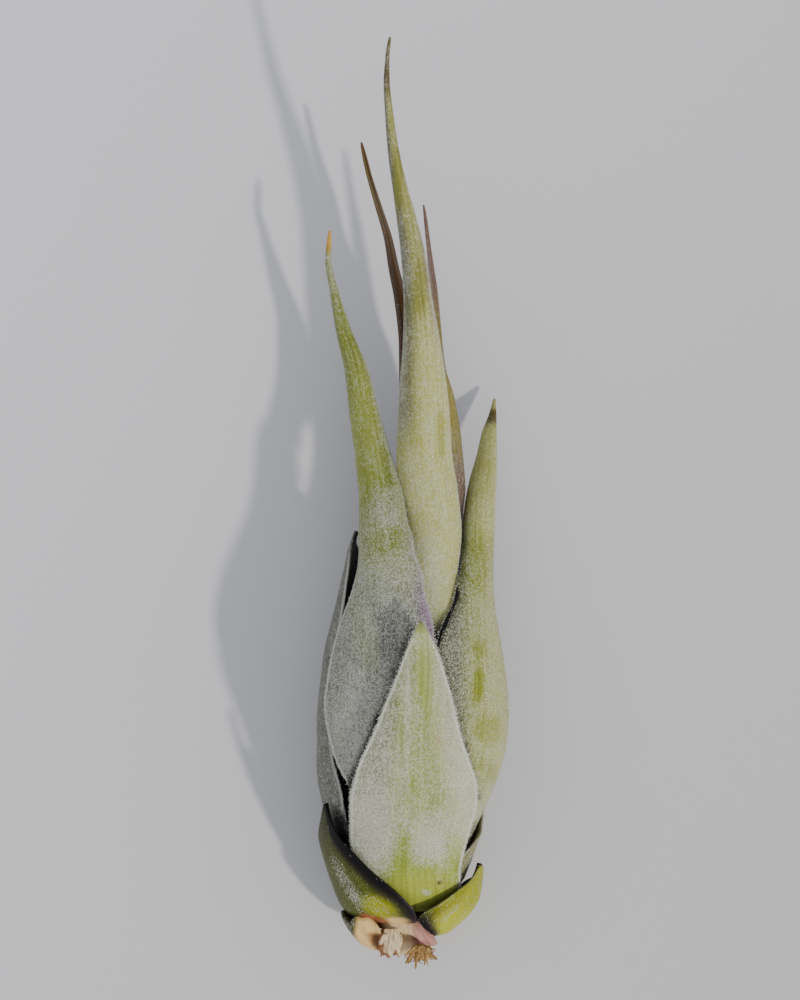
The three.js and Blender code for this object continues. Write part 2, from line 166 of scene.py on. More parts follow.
def curve_through(rows, column):
    """A smooth curve through rows whose first number rises, read at values of it."""
    xs = np.array([row[0] for row in rows], float)
    ys = np.array([row[column] for row in rows], float)
    slopes = np.diff(ys) / np.diff(xs)
    product = slopes[:-1] * slopes[1:]
    total = np.where(product > 0, slopes[:-1] + slopes[1:], 1.0)
    inner = np.where(product > 0, 2 * product / total, 0.0)
    tangents = np.concatenate([slopes[:1], inner, slopes[-1:]])

    def read(x):
        x = np.clip(x, xs[0], xs[-1])
        i = np.clip(np.searchsorted(xs, x, side="right") - 1, 0, len(xs) - 2)
        span = xs[i + 1] - xs[i]
        t = (x - xs[i]) / span
        return ((1 + 2 * t) * (1 - t) ** 2 * ys[i] + t * (1 - t) ** 2 * span * tangents[i]
                + t * t * (3 - 2 * t) * ys[i + 1] + t * t * (t - 1) * span * tangents[i + 1])

    return read


def spline_points(rows, count):
    """Points and unit directions along a Catmull-Rom curve through the rows."""
    points = np.array(rows, float)
    last = len(points) - 1

    def at(t):
        place = t * last
        i = np.minimum(place.astype(int), last - 1)
        w = (place - i)[:, None]
        p0, p1 = points[np.maximum(i - 1, 0)], points[i]
        p2, p3 = points[i + 1], points[np.minimum(i + 2, last)]
        v0, v1 = (p2 - p0) / 2, (p3 - p1) / 2
        return ((2 * p1 - 2 * p2 + v0 + v1) * w ** 3 + (-3 * p1 + 3 * p2 - 2 * v0 - v1) * w ** 2
                + v0 * w + p1)

    t = np.linspace(0, 1, count + 1)
    step = at(np.minimum(t + 1e-4, 1)) - at(np.maximum(t - 1e-4, 0))
    return at(t), step / np.linalg.norm(step, axis=1, keepdims=True)


def layer_profile(level):
    """The bulb's outer profile moved inward by a number of layers, as rows of (y, radius)."""
    points, along = spline_points(BULB_PROFILE, 240)
    y = points[:, 0] + along[:, 1] * level * LAYER_PITCH
    r = points[:, 1] - along[:, 0] * level * LAYER_PITCH
    rows = []
    for place, radius in zip(y, r):
        if radius >= STEM_SEAT_RADIUS and (not rows or place > rows[-1][0] + 1e-4):
            rows.append((place, radius))
    return rows


def smoothstep(low, high, value):
    """A smooth rise from 0 at low to 1 at high, or a fall where low is the greater."""
    t = np.clip((value - low) / (high - low), 0, 1)
    return t * t * (3 - 2 * t)


def unit(vectors):
    return vectors / (np.linalg.norm(vectors, axis=-1, keepdims=True) + 1e-12)


class Leaf:
    """The outer face of one leaf, over t from the foot to the tip and v from -1 to 1 across.

    Each row starts with a place y along the plant. A span row goes on with the angle of the midrib round the
    bulb and half the angle that the leaf spans, in degrees. A blade row has the middle x and z of the rolled
    blade and its radius. A lift row says how far the face stands out, and a tuck row how far the left and
    right margins lie in.
    """

    def __init__(self, span, level=0, blade=None, leaves=0.0, free=1.0, profile=None, tip_taper=2.5,
                 tear=None, lift=None, tuck=None, waves=0.10, seed=1):
        rows = profile or layer_profile(level)
        self.layer_radius = curve_through(rows, 1)
        self.midrib, self.half_angle = curve_through(span, 1), curve_through(span, 2)
        self.blade = blade and [curve_through(blade, column) for column in (1, 2, 3)]
        self.lift = lift and curve_through(lift, 1)
        self.tuck = tuck and [curve_through(tuck, column) for column in (1, 2)]
        self.leaves, self.free = leaves, free
        self.foot, self.tip = rows[0][0], span[-1][0]
        self.tip_taper, self.tear, self.waves = tip_taper, tear, waves
        self.random = np.random.default_rng(seed)
        self.phases = self.random.uniform(0, 2 * math.pi, 6)
        t = np.linspace(0, 1, 1200)
        dense = self.foot + (self.tip - self.foot) * t * (0.25 + 0.75 * t)
        middle = self.at_y(dense, np.zeros(1))[0][:, 0]
        lengths = np.concatenate([[0], np.cumsum(np.linalg.norm(np.diff(middle, axis=0), axis=1))])
        self.length = lengths[-1]
        self.dense, self.lengths = dense, lengths

    def at_y(self, y, v):
        """Points, radius and half angle of the leaf at places along the plant, before the waves."""
        rolled = smoothstep(self.leaves, self.free, y) if self.blade else np.zeros_like(y)
        sheath = [curve_through(BULB_AXIS, 1)(y), curve_through(BULB_AXIS, 2)(y), self.layer_radius(y)]
        own = [read(y) for read in self.blade] if self.blade else sheath
        x, z, r = [a + (b - a) * rolled for a, b in zip(sheath, own)]
        if self.blade:
            r = r * (0.4 + 0.6 * np.sqrt(np.clip((self.tip - y) / self.tip_taper, 0, 1)))
        if self.lift:
            r = r + self.lift(y)
        flat = BULB_FLATNESS + (1 - BULB_FLATNESS) * rolled
        middle, half = np.radians(self.midrib(y)), np.radians(self.half_angle(y))
        angle = middle[:, None] + half[:, None] * v[None, :]
        torn = 0
        if self.tear:
            torn = self.tear(v)[None, :] * smoothstep(self.foot, self.tip, y)[:, None]
        reach = r[:, None] + 0 * angle
        if self.tuck:
            left, right = [read(y)[:, None] for read in self.tuck]
            reach = reach - np.where(v < 0, left, right) * np.abs(v) ** 3
        points = np.stack([x[:, None] + reach * np.sin(angle), y[:, None] + torn + 0 * angle,
                           z[:, None] + flat[:, None] * reach * np.cos(angle)], axis=2)
        return points, r, half

    def surface(self, t, v):
        """Points, inward normals, millimetres across and along the leaf, radius and half angle."""
        y = np.interp(t * self.length, self.lengths, self.dense)
        points, radius, half = self.at_y(y, v)
        inward = unit(np.cross(np.gradient(points, axis=0), np.gradient(points, axis=1)))
        across = (half * radius)[:, None] * v[None, :]
        up = (t * self.length)[:, None] + 0 * v[None, :]
        a = self.phases
        sway = (np.sin(up / 3.1 + a[0] + 0.5 * across) + np.sin(up / 5.3 + a[1] - 0.3 * across)
                + 0.7 * np.sin(across / 1.1 + a[2] + up / 9))
        held = smoothstep(0, 0.12, t)[:, None] * smoothstep(0, 3.0, radius)[:, None]
        depth = self.waves * sway * held / 2.7
        return points + inward * depth[:, :, None], inward, across, up, radius, half


def zone(points, x, y, wide, long, turn=0.0):
    """How much of the skin an oval zone covers, from its middle outwards, turned by some degrees."""
    dx, dy = points[..., 0] - x, points[..., 1] - y
    c, s = math.cos(math.radians(turn)), math.sin(math.radians(turn))
    far = np.hypot((c * dx - s * dy) / wide, (s * dx + c * dy) / long)
    return 1 - smoothstep(0.35, 1.0, far)


def stripe(points, start, end, wide):
    """How much of the skin a straight stripe covers, from its middle line outwards."""
    path = np.array(end, float) - start
    away = points[..., :2] - np.array(start, float)
    share = np.clip((away @ path) / (path @ path), 0, 1)
    return 1 - smoothstep(0.2 * wide, wide, np.linalg.norm(away - share[..., None] * path, axis=-1))


def closed_shell(outer, inner):
    """Points and faces of the shell between two grids of points."""
    n_rows, n_columns = outer.shape[:2]
    count = n_rows * n_columns
    grid = np.arange(count).reshape(n_rows, n_columns)
    a, b, c, d = grid[:-1, :-1], grid[:-1, 1:], grid[1:, 1:], grid[1:, :-1]
    faces = [np.stack([a, b, c, d], -1).reshape(-1, 4)]
    faces.append(np.stack([a, d, c, b], -1).reshape(-1, 4) + count)
    edges = [(grid[:-1, 0], grid[1:, 0]), (grid[1:, -1], grid[:-1, -1]),
             (grid[0, 1:], grid[0, :-1]), (grid[-1, :-1], grid[-1, 1:])]
    for low, high in edges:
        faces.append(np.stack([low, high, high + count, low + count], -1))
    return np.concatenate([outer.reshape(-1, 3), inner.reshape(-1, 3)]), np.concatenate(faces)


def hang(node, points, faces, layers, materials, kinds):
    """One finer piece in place of a node, from points in millimetres and painted attributes."""
    mesh = bpy.data.meshes.new(node + "_skin")
    mesh.from_pydata(((points - BOX_CENTRE) * MM).tolist(), [], faces)
    for key, values in layers.items():
        if values.ndim == 2:
            mesh.attributes.new(key, "FLOAT_VECTOR", "POINT").data.foreach_set("vector", values.ravel())
        else:
            mesh.attributes.new(key, "FLOAT", "POINT").data.foreach_set("value", values)
    mesh.polygons.foreach_set("use_smooth", np.ones(len(mesh.polygons), bool))
    mesh.polygons.foreach_set("material_index", kinds)
    for material in materials:
        mesh.materials.append(material)
    mesh.update()
    piece = in_scene(node + "_skin", mesh)
    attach(piece, "root")
    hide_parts(node)


def hang_leaf(node, leaf, paint, skin, rows=170, columns=44, thicker=0.0, floor_cut=False,
              scales=9000, hairs=900, rim=(1.0, 1.0)):
    """A closed leaf with painted zones, loose scales on its face and a fringe of them on its margins."""
    random = leaf.random
    t = np.linspace(0, 1, rows + 1)

    # Columns lie closer together towards the margins
    even = np.linspace(-1, 1, columns + 1)
    v = 0.35 * np.sin(even * math.pi / 2) + 0.65 * even
    outer, inward, across, up, radius, half = leaf.surface(t, v)
    depth = MARGIN_THICKNESS + (LEAF_THICKNESS - MARGIN_THICKNESS) * (1 - np.abs(v) ** 6)
    depth = np.minimum((depth + thicker * (1 - v ** 2) ** 2)[None, :], 0.85 * radius[:, None])
    inner = outer + inward * depth[:, :, None]
    if floor_cut:
        outer[..., 2] = np.maximum(outer[..., 2], 0.0)
    points, faces = closed_shell(outer, inner)
    count = outer.shape[0] * outer.shape[1]
    painted = paint(outer, t[:, None] + 0 * v[None, :], v[None, :] + 0 * t[:, None])
    layers = {key: np.tile(np.ravel(painted.get(key, 0.0) + 0 * up), 2) for key in PAINTS}
    layers["inside"] = np.repeat([0.0, 1.0], count)
    from_margin = (half * radius)[:, None] * (1 - np.abs(v))[None, :]
    frosted = np.where(v < 0, rim[0], rim[1])[None, :] * smoothstep(0.98, 0.88, t)[:, None]
    layers["rim"] = np.tile((frosted * smoothstep(0.42, 0.10, from_margin)).ravel(), 2)
    skin_mm = np.stack([across, up, 0 * up], -1).reshape(-1, 3)
    layers["skin_mm"] = np.concatenate([skin_mm, skin_mm + [0, 0, 1]])

    # Loose scales, more of them where the coat is thick and hardly any in the deep shade
    face, normal = outer.reshape(-1, 3), -inward.reshape(-1, 3)
    step_along = np.gradient(outer, axis=0).reshape(-1, 3)
    step_over = np.gradient(outer, axis=1).reshape(-1, 3)
    area = np.linalg.norm(np.cross(step_along, step_over), axis=1)
    bare = 1 - 0.95 * layers["crevice"][:count]
    weight = area * bare * np.clip(layers["silver"][:count], 0.004, 1) ** 1.3
    at = random.choice(count, scales, p=weight / weight.sum())
    spot = (face[at] + step_along[at] * random.uniform(-0.5, 0.5, (scales, 1))
            + step_over[at] * random.uniform(-0.5, 0.5, (scales, 1))
            + normal[at] * random.uniform(0, LOOSE_STAND_OFF, (scales, 1)))
    tilt = random.normal(0, 0.3, (scales, 2))
    small = (0.55 + 0.45 * smoothstep(1.0, 4.5, np.repeat(radius, len(v))[at]))[:, None]
    long = unit(step_along[at]) + normal[at] * tilt[:, :1]
    long = long * random.uniform(*LOOSE_HALF_LENGTH, (scales, 1)) * small
    wide = unit(step_over[at]) + normal[at] * tilt[:, 1:]
    wide = wide * random.uniform(*LOOSE_HALF_WIDTH, (scales, 1)) * small
    flakes = np.stack([spot + long, spot + wide, spot - long, spot - wide], 1).reshape(-1, 3)

    # A fringe of scales that stand off both margins and lean towards the tip
    side = random.integers(0, 2, hairs) * columns
    row = random.integers(1, rows, hairs)
    root = outer[row, side] + inward[row, side] * FRINGE_ROOT_DEPTH
    away = unit(outer[row, side] - outer[row, np.where(side > 0, side - 1, 1)])
    forward = unit(outer[row + 1, side] - outer[row - 1, side])
    lean = random.normal(0, 0.35, (hairs, 3)) - 0.2 * inward[row, side]
    reach = random.uniform(*FRINGE_LENGTH, (hairs, 1)) * np.minimum(1, radius[row] / 1.2)[:, None]
    fringe = np.stack([root - forward * FRINGE_HALF_WIDTH, root + forward * FRINGE_HALF_WIDTH,
                       root + (away + 0.35 * forward + lean) * reach], 1).reshape(-1, 3)

    # Both lie in one mesh with the leaf, and none goes below the table
    loose = np.concatenate([flakes, fringe])
    loose[:, 2] = np.maximum(loose[:, 2], 0.0)
    flake_faces = np.arange(scales * 4).reshape(-1, 4) + len(points)
    fringe_faces = np.arange(hairs * 3).reshape(-1, 3) + len(points) + scales * 4
    for key in PAINTS:
        layers[key] = np.concatenate([layers[key], np.zeros(len(loose))])
    layers["skin_mm"] = np.concatenate([layers["skin_mm"], np.zeros((len(loose), 3))])
    layers["bright"] = np.concatenate([np.zeros(len(points)), np.repeat(random.uniform(0, 1, scales), 4),
                                       np.full(hairs * 3, 0.8)])
    kinds = np.concatenate([np.zeros(len(faces), int), np.ones(scales + hairs, int)])
    all_faces = faces.tolist() + flake_faces.tolist() + fringe_faces.tolist()
    hang(node, np.concatenate([points, loose]), all_faces, layers, [skin, silver_scale], kinds)


# The coat's grain in millimetres. Each cell stands for the thick middle of one scale, whose thin wing is
# about twice as wide. Single scales are too fine to show, so flecks 0.4 mm across stand for clumps of them,
# and clouds 2.6 mm across for a thicker and thinner coat. The veins are the fine lines along a leaf.
SCALE_WIDTH = 0.11
SCALE_LENGTH = 0.17
VEIN_SPACING = 0.42
VEIN_LENGTH = 25.0
CLOUDS_PER_MM = 0.38
FLECKS_PER_MM = 2.4
GRAIN_RELIEF = 0.05
RUST = "#9a4f22"
FROST = "#e4e4da"
DEEP_SHADE = "#0b0808"


def plant_skin(name, green, deep, grey, gold, blush, dry, cream, silver, inner, roughness=0.5, scaly=1.0,
               shine=0.2):
    """Waxy flesh with fine veins, its painted zones, and a coat of dry scales that stand off the skin.

    Flesh alone looks smooth and faintly waxy. The scales hold air, so a full coat is silver and quite matt.
    """
    material = new_material(name)
    tree = material.node_tree
    place = add(tree, "Attribute", attribute_name="skin_mm").outputs["Vector"]
    painted = {key: add(tree, "Attribute", attribute_name=key).outputs["Fac"] for key in PAINTS}
    scale_pitch = (1 / SCALE_WIDTH, 1 / SCALE_LENGTH, 1)
    grain = add(tree, "VectorMath", {0: place, 1: scale_pitch}, operation="MULTIPLY")
    cells = add(tree, "TexVoronoi", {"Vector": grain, "Scale": 1.0, "Randomness": 1.0})
    chance = add(tree, "SeparateColor", {0: cells.outputs["Color"]})
    vein_pitch = (1 / VEIN_SPACING, 1 / VEIN_LENGTH, 1)
    stretched = add(tree, "VectorMath", {0: place, 1: vein_pitch}, operation="MULTIPLY")
    veins = add(tree, "TexNoise", {"Vector": stretched, "Scale": 1.0, "Detail": 3.0, "Roughness": 0.6})
    clouds = add(tree, "TexNoise", {"Vector": place, "Scale": CLOUDS_PER_MM, "Detail": 6.0,
                                    "Roughness": 0.62})
    flecks = add(tree, "TexNoise", {"Vector": place, "Scale": FLECKS_PER_MM, "Detail": 4.0,
                                    "Roughness": 0.65})

    between = add(tree, "Math", {0: veins, 1: 1.6, 2: -0.35}, operation="MULTIPLY_ADD")
    flesh = add(tree, "MixRGB", {"Fac": between, "Color1": linear(green), "Color2": linear(deep)})
    for key, colour in (("grey", grey), ("gold", gold), ("blush", blush), ("cream", cream),
                        ("rust", RUST), ("dry", dry)):
        flesh = add(tree, "MixRGB", {"Fac": painted[key], "Color1": flesh, "Color2": linear(colour)})
    mottle = add(tree, "Math", {0: flecks, 1: 0.5, 2: 1.10}, operation="MULTIPLY_ADD")
    mottle = add(tree, "Math", {0: veins, 1: -0.7, 2: mottle}, operation="MULTIPLY_ADD")
    flesh = add(tree, "MixRGB", {"Fac": 1.0, "Color1": flesh, "Color2": mottle}, blend_type="MULTIPLY")
    living = add(tree, "Math", {0: painted["dry"], 1: -0.8, 2: 1.0}, operation="MULTIPLY_ADD")
    hidden = add(tree, "Math", {0: painted["inside"], 1: living}, operation="MULTIPLY")
    flesh = add(tree, "MixRGB", {"Fac": hidden, "Color1": flesh, "Color2": linear(inner)})

    cover = add(tree, "Math", {0: clouds, 1: 0.9, 2: -0.78}, operation="MULTIPLY_ADD")
    for source, share in ((painted["silver"], 1.0), (flecks, 1.1), (veins, -0.45), (painted["rim"], 0.75),
                          (painted["inside"], -0.45)):
        cover = add(tree, "Math", {0: source, 1: share, 2: cover}, operation="MULTIPLY_ADD")
    ahead = add(tree, "Math", {0: cover, 1: chance}, operation="SUBTRACT")
    shown = add(tree, "MapRange", {"Value": ahead, "From Min": -0.30, "From Max": 0.30})
    disc = add(tree, "MapRange", {"Value": cells.outputs["Distance"], "From Min": 0.15, "From Max": 0.65,
                                  "To Min": 1.0, "To Max": 0.40})
    coat = add(tree, "Math", {0: shown, 1: disc}, operation="MULTIPLY")
    thin = add(tree, "Math", {0: cover, 1: 0.22 * scaly}, operation="MULTIPLY", use_clamp=True)
    film = add(tree, "Math", {0: coat, 1: 0.72 * scaly, 2: thin}, operation="MULTIPLY_ADD", use_clamp=True)
    coated = add(tree, "MixRGB", {"Fac": film, "Color1": flesh, "Color2": linear(silver)})
    frosted = add(tree, "Math", {0: painted["rim"], 1: 0.5}, operation="MULTIPLY")
    coated = add(tree, "MixRGB", {"Fac": frosted, "Color1": coated, "Color2": linear(FROST)})
    # Painted shade: near black mixed over the coat where leaves shade one another
    coated = add(tree, "MixRGB", {"Fac": painted["crevice"], "Color1": coated,
                                  "Color2": linear(DEEP_SHADE)})

    height = add(tree, "Math", {0: coat, 1: 0.6}, operation="MULTIPLY")
    height = add(tree, "Math", {0: veins, 1: 0.5, 2: height}, operation="MULTIPLY_ADD")
    bump = add(tree, "Bump", {"Height": height, "Distance": GRAIN_RELIEF * MM, "Strength": 0.8})
    matt = add(tree, "Math", {0: coat, 1: 0.35, 2: roughness}, operation="MULTIPLY_ADD")
    shader = add(tree, "BsdfPrincipled", {
        "Base Color": coated, "Roughness": matt, "Normal": bump, "Specular IOR Level": shine,
        "Sheen Weight": 0.03, "Sheen Roughness": 0.5})
    add(tree, "OutputMaterial", {"Surface": shader})
    return material


# Loose silver scales: dry hollow hairs like tiny discs, whose air turns them white and matt
silver_scale = new_material("silver leaf scales, dry and matt")
tree = silver_scale.node_tree
bright = add(tree, "Attribute", attribute_name="bright").outputs["Fac"]
pale = add(tree, "MixRGB", {"Fac": bright, "Color1": linear("#9b9e8b"), "Color2": linear("#e8e6dc")})
shader = add(tree, "BsdfPrincipled", {"Base Color": pale, "Roughness": 0.85, "Sheen Weight": 0.2,
                                      "Sheen Roughness": 0.4})
add(tree, "OutputMaterial", {"Surface": shader})

# Living leaf skin, grown under a full coat of scales: it looks grey, matt and grained like frost
scaly_leaf = plant_skin("scaly grey-green leaf skin", green="#98a53a", deep="#78842a", grey="#5b5c4c",
                        gold="#b5b846", blush="#b98d5c", dry="#4a3a1e", cream="#d0cba6",
                        silver="#e7e7d3", inner="#2a1f24")


def front_short_paint(points, t, v):
    x, y = points[..., 0], points[..., 1]
    silver = 0.42 - 0.36 * zone(points, 3.4, -20.5, 1.6, 8.5) - 0.20 * zone(points, 4.2, -24, 3.0, 10.0, -8)
    silver -= 0.14 * zone(points, 3.4, -36, 3.6, 11.0, 4) + 0.14 * zone(points, -0.4, -27, 2.0, 9.0, -16)
    silver -= 0.62 * zone(points, 2.4, -53.0, 8.5, 8.5) + 0.34 * zone(points, 0.4, -45.5, 1.7, 4.6, 10)
    silver -= 0.30 * zone(points, 7.0, -45.5, 1.6, 4.6, -12)
    silver += 0.36 * zone(points, -3.6, -42, 3.8, 8.0) + 0.26 * zone(points, 0.9, -28, 0.6, 12.0)
    silver += 0.28 * zone(points, 4.0, -43.2, 4.4, 5.0, 20) + 0.14 * zone(points, 4.4, -44.6, 2.2, 2.6)
    # The right side gets a thicker coat: partly the leaf's own coat, partly painted light where it faces the
    # sun
    silver += 0.22 * smoothstep(5.0, 8.0, x + 0.25 * (y + 34))
    silver += 0.7 * zone(points, 3.4, -50.9, 1.0, 0.6, 25) - 0.7 * smoothstep(0.955, 0.99, t)
    grey = 0.8 * smoothstep(1.6, -1.2, x - 0.1 * (y + 20)) * smoothstep(-49, -43, y)
    gold = 0.40 * zone(points, 2.4, -51.5, 8.0, 6.0) + 0.10 * zone(points, 3.2, -21, 2.2, 8.0)
    # Paler cream flesh on the right side: partly its own colour, partly painted light where it faces the sun
    cream = 0.40 * smoothstep(3.5, 7.5, x + 0.2 * (y + 34)) * smoothstep(-50, -44, y)
    blush = 0.45 * zone(points, 5.6, -30.3, 1.6, 2.4)
    dry = 0.5 * smoothstep(0.965, 1.0, t) + zone(points, 5.1, -49.6, 0.5, 0.42)
    # Painted shade at the very foot, where the leaf goes in among the bracts
    foot = smoothstep(-53.4, -55.6, y - 0.35 * np.abs(x - 1.2))
    return {"silver": silver, "grey": grey, "gold": gold, "cream": cream, "blush": blush, "dry": dry,
            "crevice": 0.3 * foot}


front_short = Leaf(level=0, seed=11, span=[
    (-54.2, 4, 60), (-51.5, 3, 55), (-48, 0.8, 46), (-44, 1.7, 43.6), (-39.6, 3.4, 38.4), (-36.4, 3.3, 33.4),
    (-33, 2, 26.8), (-29.6, 2.2, 20.6), (-25.2, 3, 15.2), (-21.9, 3.5, 11), (-18.6, 3.2, 6.4),
    (-15.4, 2.5, 0.7)],
    lift=[(-36, 0), (-30, 0.3), (-24, 1.0), (-19, 1.9), (-15.4, 2.8)],
    tuck=[(-45, 0, 0), (-42, -0.2, 0), (-37, -0.9, -0.3), (-30, -0.7, -0.4), (-22, 0, 0)])
hang_leaf("leaf_front_short", front_short, front_short_paint, scaly_leaf, scales=22000,
          hairs=1600)


# Under short leaf
# The like leaf on the underside, which the plant lies on. It is flattened where it bears on the table, and
# its coat is thinner there.
def under_short_paint(points, t, v):
    silver = 0.5 - 0.35 * zone(points, 1.6, -27, 5.0, 10.0) - 0.5 * smoothstep(0.16, 0.0, t)
    return {"silver": silver, "gold": 0.3 * smoothstep(0.2, 0.0, t), "dry": 0.7 * smoothstep(0.96, 1.0, t)}


under_short = Leaf(level=0, seed=12, span=[
    (-54.2, 181, 55), (-50, 181, 50), (-44, 181, 48), (-38, 180, 46), (-30, 180, 40),
    (-22, 179, 30), (-15, 178, 17), (-10, 178, 6), (-8, 178, 1.6)])
hang_leaf("leaf_under_short", under_short, under_short_paint, scaly_leaf, thicker=0.4,
          floor_cut=True, scales=12000)


# Left long leaf
# The long leaf on the left, of the same flesh and coat. Its broad foot clasps the bulb, and above it the
# blade rolls in to a slim point with an orange tip.

# Leaf skin whose coat thins out upwards: grey with a lilac tinge at the foot, bright green above
orange_tip_leaf = plant_skin("scaly grey leaf skin with green flesh above", green="#848b30", deep="#656d22",
                             grey="#5f5f53", gold="#8f953a", blush="#85637e", dry="#cd9c48",
                             cream="#4e4d43", silver="#dfe0d8", inner="#4d4f39")


def left_long_paint(points, t, v):
    y = points[..., 1]
    silver = 0.42 - 0.34 * smoothstep(-9, 1, y) + 0.26 * smoothstep(22, 30, y)
    silver += 0.15 * zone(points, -5.8, -29, 4.0, 9.0) + 0.27 * zone(points, -1.6, -1.2, 3.4, 4.0)
    silver -= 0.15 * zone(points, -1.0, -19, 2.6, 8.0, -14) + 0.16 * zone(points, -1.8, -5.4, 3.2, 2.8)
    margins = 0.7 * smoothstep(-0.42, -0.80, v) + 0.4 * smoothstep(0.55, 0.95, v)
    silver += margins * smoothstep(-2, 5, y) * smoothstep(0.97, 0.9, t)
    # Grey low on the leaf: partly grey flesh, partly a painted shadow cast by the front leaf's tip
    grey = 0.85 * smoothstep(-7, -15, y) * (1 - 0.6 * zone(points, -4.6, -17, 2.4, 7.0, -14))
    gold = 0.75 * zone(points, -4.5, 9, 3.4, 14.0)
    blush = smoothstep(0.66, 0.92, v) * smoothstep(-26, -18, y) * smoothstep(1, -7, y)
    blush *= 0.35 + 0.60 * smoothstep(-8, -15, y)
    silver -= 0.3 * blush
    cream = 0.75 * zone(points, -0.8, -20, 2.4, 8.5, -14)
    dry = smoothstep(0.962, 0.985, t)
    # Painted shade: near-black stripes beside the front leaf's left margin, and low at the foot
    crevice = 0.9 * stripe(points, (-2.6, -28.0), (-6.9, -37.9), 1.1) + 0.5 * smoothstep(-38, -41, y)
    crevice += 0.45 * stripe(points, (1.6, -17.0), (-2.6, -28.0), 1.4)
    return {"silver": silver - 0.5 * dry, "grey": grey, "gold": gold, "blush": blush, "cream": cream,
            "dry": dry, "crevice": np.clip(crevice, 0, 1)}


left_long = Leaf(level=1, seed=13, leaves=-17, free=-2, span=[
    (-54.5, -8, 45), (-46, -8, 36), (-37.4, -8, 31), (-33.6, -12, 35), (-30.1, -16, 36.6), (-26.3, -20, 37.5),
    (-22, -22, 36), (-17, -23.5, 35), (-13, -23.5, 34.5), (-9.5, -21.5, 41), (-6.5, -25, 55), (-3.7, -29, 82),
    (2, -25, 90), (12, -20, 95), (22, -15, 105), (35.3, -12, 115)], blade=[
    (-20, -1.2, 14.5, 6.0), (-10, -1.5, 15.0, 4.6), (-3.7, -1.9, 14.8, 3.65), (0.3, -2.25, 13.5, 3.15),
    (5.7, -3.4, 12.0, 2.5), (11, -4.6, 10.9, 2.05), (17, -5.7, 10.4, 1.62), (22.7, -7.5, 10.6, 1.05),
    (27.3, -8.6, 11.0, 0.62), (31.5, -9.4, 11.4, 0.4), (35.3, -9.2, 11.5, 0.34)],
    tuck=[(-20, 0, 0), (-15, 0.4, 0), (-11, 0.7, 0), (-7, 0.95, 0), (-3, 0.6, 0), (1, 0.2, 0), (5, 0, 0)])
hang_leaf("leaf_left_long", left_long, left_long_paint, orange_tip_leaf, rows=240,
          scales=26000, hairs=2200, rim=(1.0, 0.25))


# Centre tall leaf
# The tallest leaf, straw green with a thin coat, with painted shade on its left side. Its foot wraps the stem
# inside the leaves in front, and its slim blade ends in a curved tip.

# Leaf skin with a thin coat: the straw green of the flesh shows, with fine silver grain on top
straw_leaf = plant_skin("straw-green leaf skin with a thin coat", green="#8f8f42", deep="#72702f",
                        grey="#67644f", gold="#b3b150", blush="#7d5a66", dry="#4c3624", cream="#c6bd7a",
                        silver="#e9e7d9", inner="#5d5b3d")


def centre_tall_paint(points, t, v):
    y = points[..., 1]
    silver = 0.28 - 0.20 * smoothstep(18, 40, y) + 0.18 * zone(points, 3, -10, 4, 8)
    silver += 0.30 * smoothstep(0.45, 0.9, np.abs(v)) * smoothstep(6, 26, y)
    silver += 0.22 * smoothstep(-0.25, -0.7, v) * smoothstep(4, 12, y) * smoothstep(28, 18, y)
    worn = zone(points, 2.6, 27, 1.3, 5.5) + zone(points, -0.3, 41, 0.9, 6.0)
    worn += 0.8 * zone(points, 5.2, 8.5, 0.9, 5.5)
    grey = 0.35 * smoothstep(0.4, 0.95, np.abs(v)) * smoothstep(0, 20, y)
    # Painted shade: the left side, turned away from the light, is greyer with less gold and a thinner coat
    shaded_side = smoothstep(0.05, -0.45, v) * smoothstep(3, 12, y)
    gold = (0.95 - 0.70 * smoothstep(12, 34, y) - 0.45 * worn) * (1 - 0.85 * shaded_side)
    grey += 0.75 * shaded_side + 0.25 * smoothstep(18, 32, y)
    blush = 0.35 * smoothstep(0.3, 0.6, v) * smoothstep(18, 24, y) * smoothstep(37, 30, y)
    dry = 0.8 * zone(points, -1.4, 55.0, 1.6, 5.0) + 0.4 * smoothstep(0.985, 1.0, t)
    silver -= 0.25 * worn + 0.26 * shaded_side * smoothstep(30, 24, y)
    # Painted shade low down, where the leaf lies deep inside the leaves in front
    return {"silver": silver, "gold": gold, "grey": np.clip(grey * (1 - 0.8 * worn), 0, 1),
            "blush": blush, "dry": dry, "crevice": smoothstep(-13, -18, y)}


centre_tall = Leaf(level=3, seed=14, leaves=-21, free=-8, tip_taper=5.0, span=[
    (-52, 0, 120), (-40, 0, 95), (-25, 2, 76), (-17, 2, 66), (-12, 3, 66), (-3.7, 3, 78), (7, 2, 82),
    (20, 0, 92), (35, 0, 105), (59, 0, 120)], blade=[
    (-20, 3.0, 11.3, 6.6), (-10, 3.3, 11.6, 4.5), (-3.7, 3.9, 11.9, 4.15), (1.7, 3.5, 12.2, 4.0),
    (7, 3.1, 12.7, 3.63), (11.3, 3.1, 13.2, 3.35), (14.5, 3.0, 13.6, 3.1), (20.7, 2.8, 14.7, 2.4),
    (26.6, 2.3, 15.7, 1.8), (31.4, 1.74, 16.5, 1.6), (35.6, 0.97, 17.2, 1.36), (39.6, 0.13, 18.0, 1.03),
    (44.4, -0.77, 19.0, 0.77), (49.6, -1.4, 20.0, 0.54), (53.6, -1.7, 20.7, 0.4), (56.6, -1.6, 21.2, 0.34),
    (59.5, -1.2, 21.7, 0.34)])
hang_leaf("leaf_centre_tall", centre_tall, centre_tall_paint, straw_leaf, rows=260,
          scales=17000, hairs=1800, rim=(0.5, 0.8))


# Right long leaf
# The long leaf on the right, which clasps the bulb under its neighbours. Its blade leans out and bends down
# to the table, with worn green patches on its foot and a brown tip that ends in a straw point.

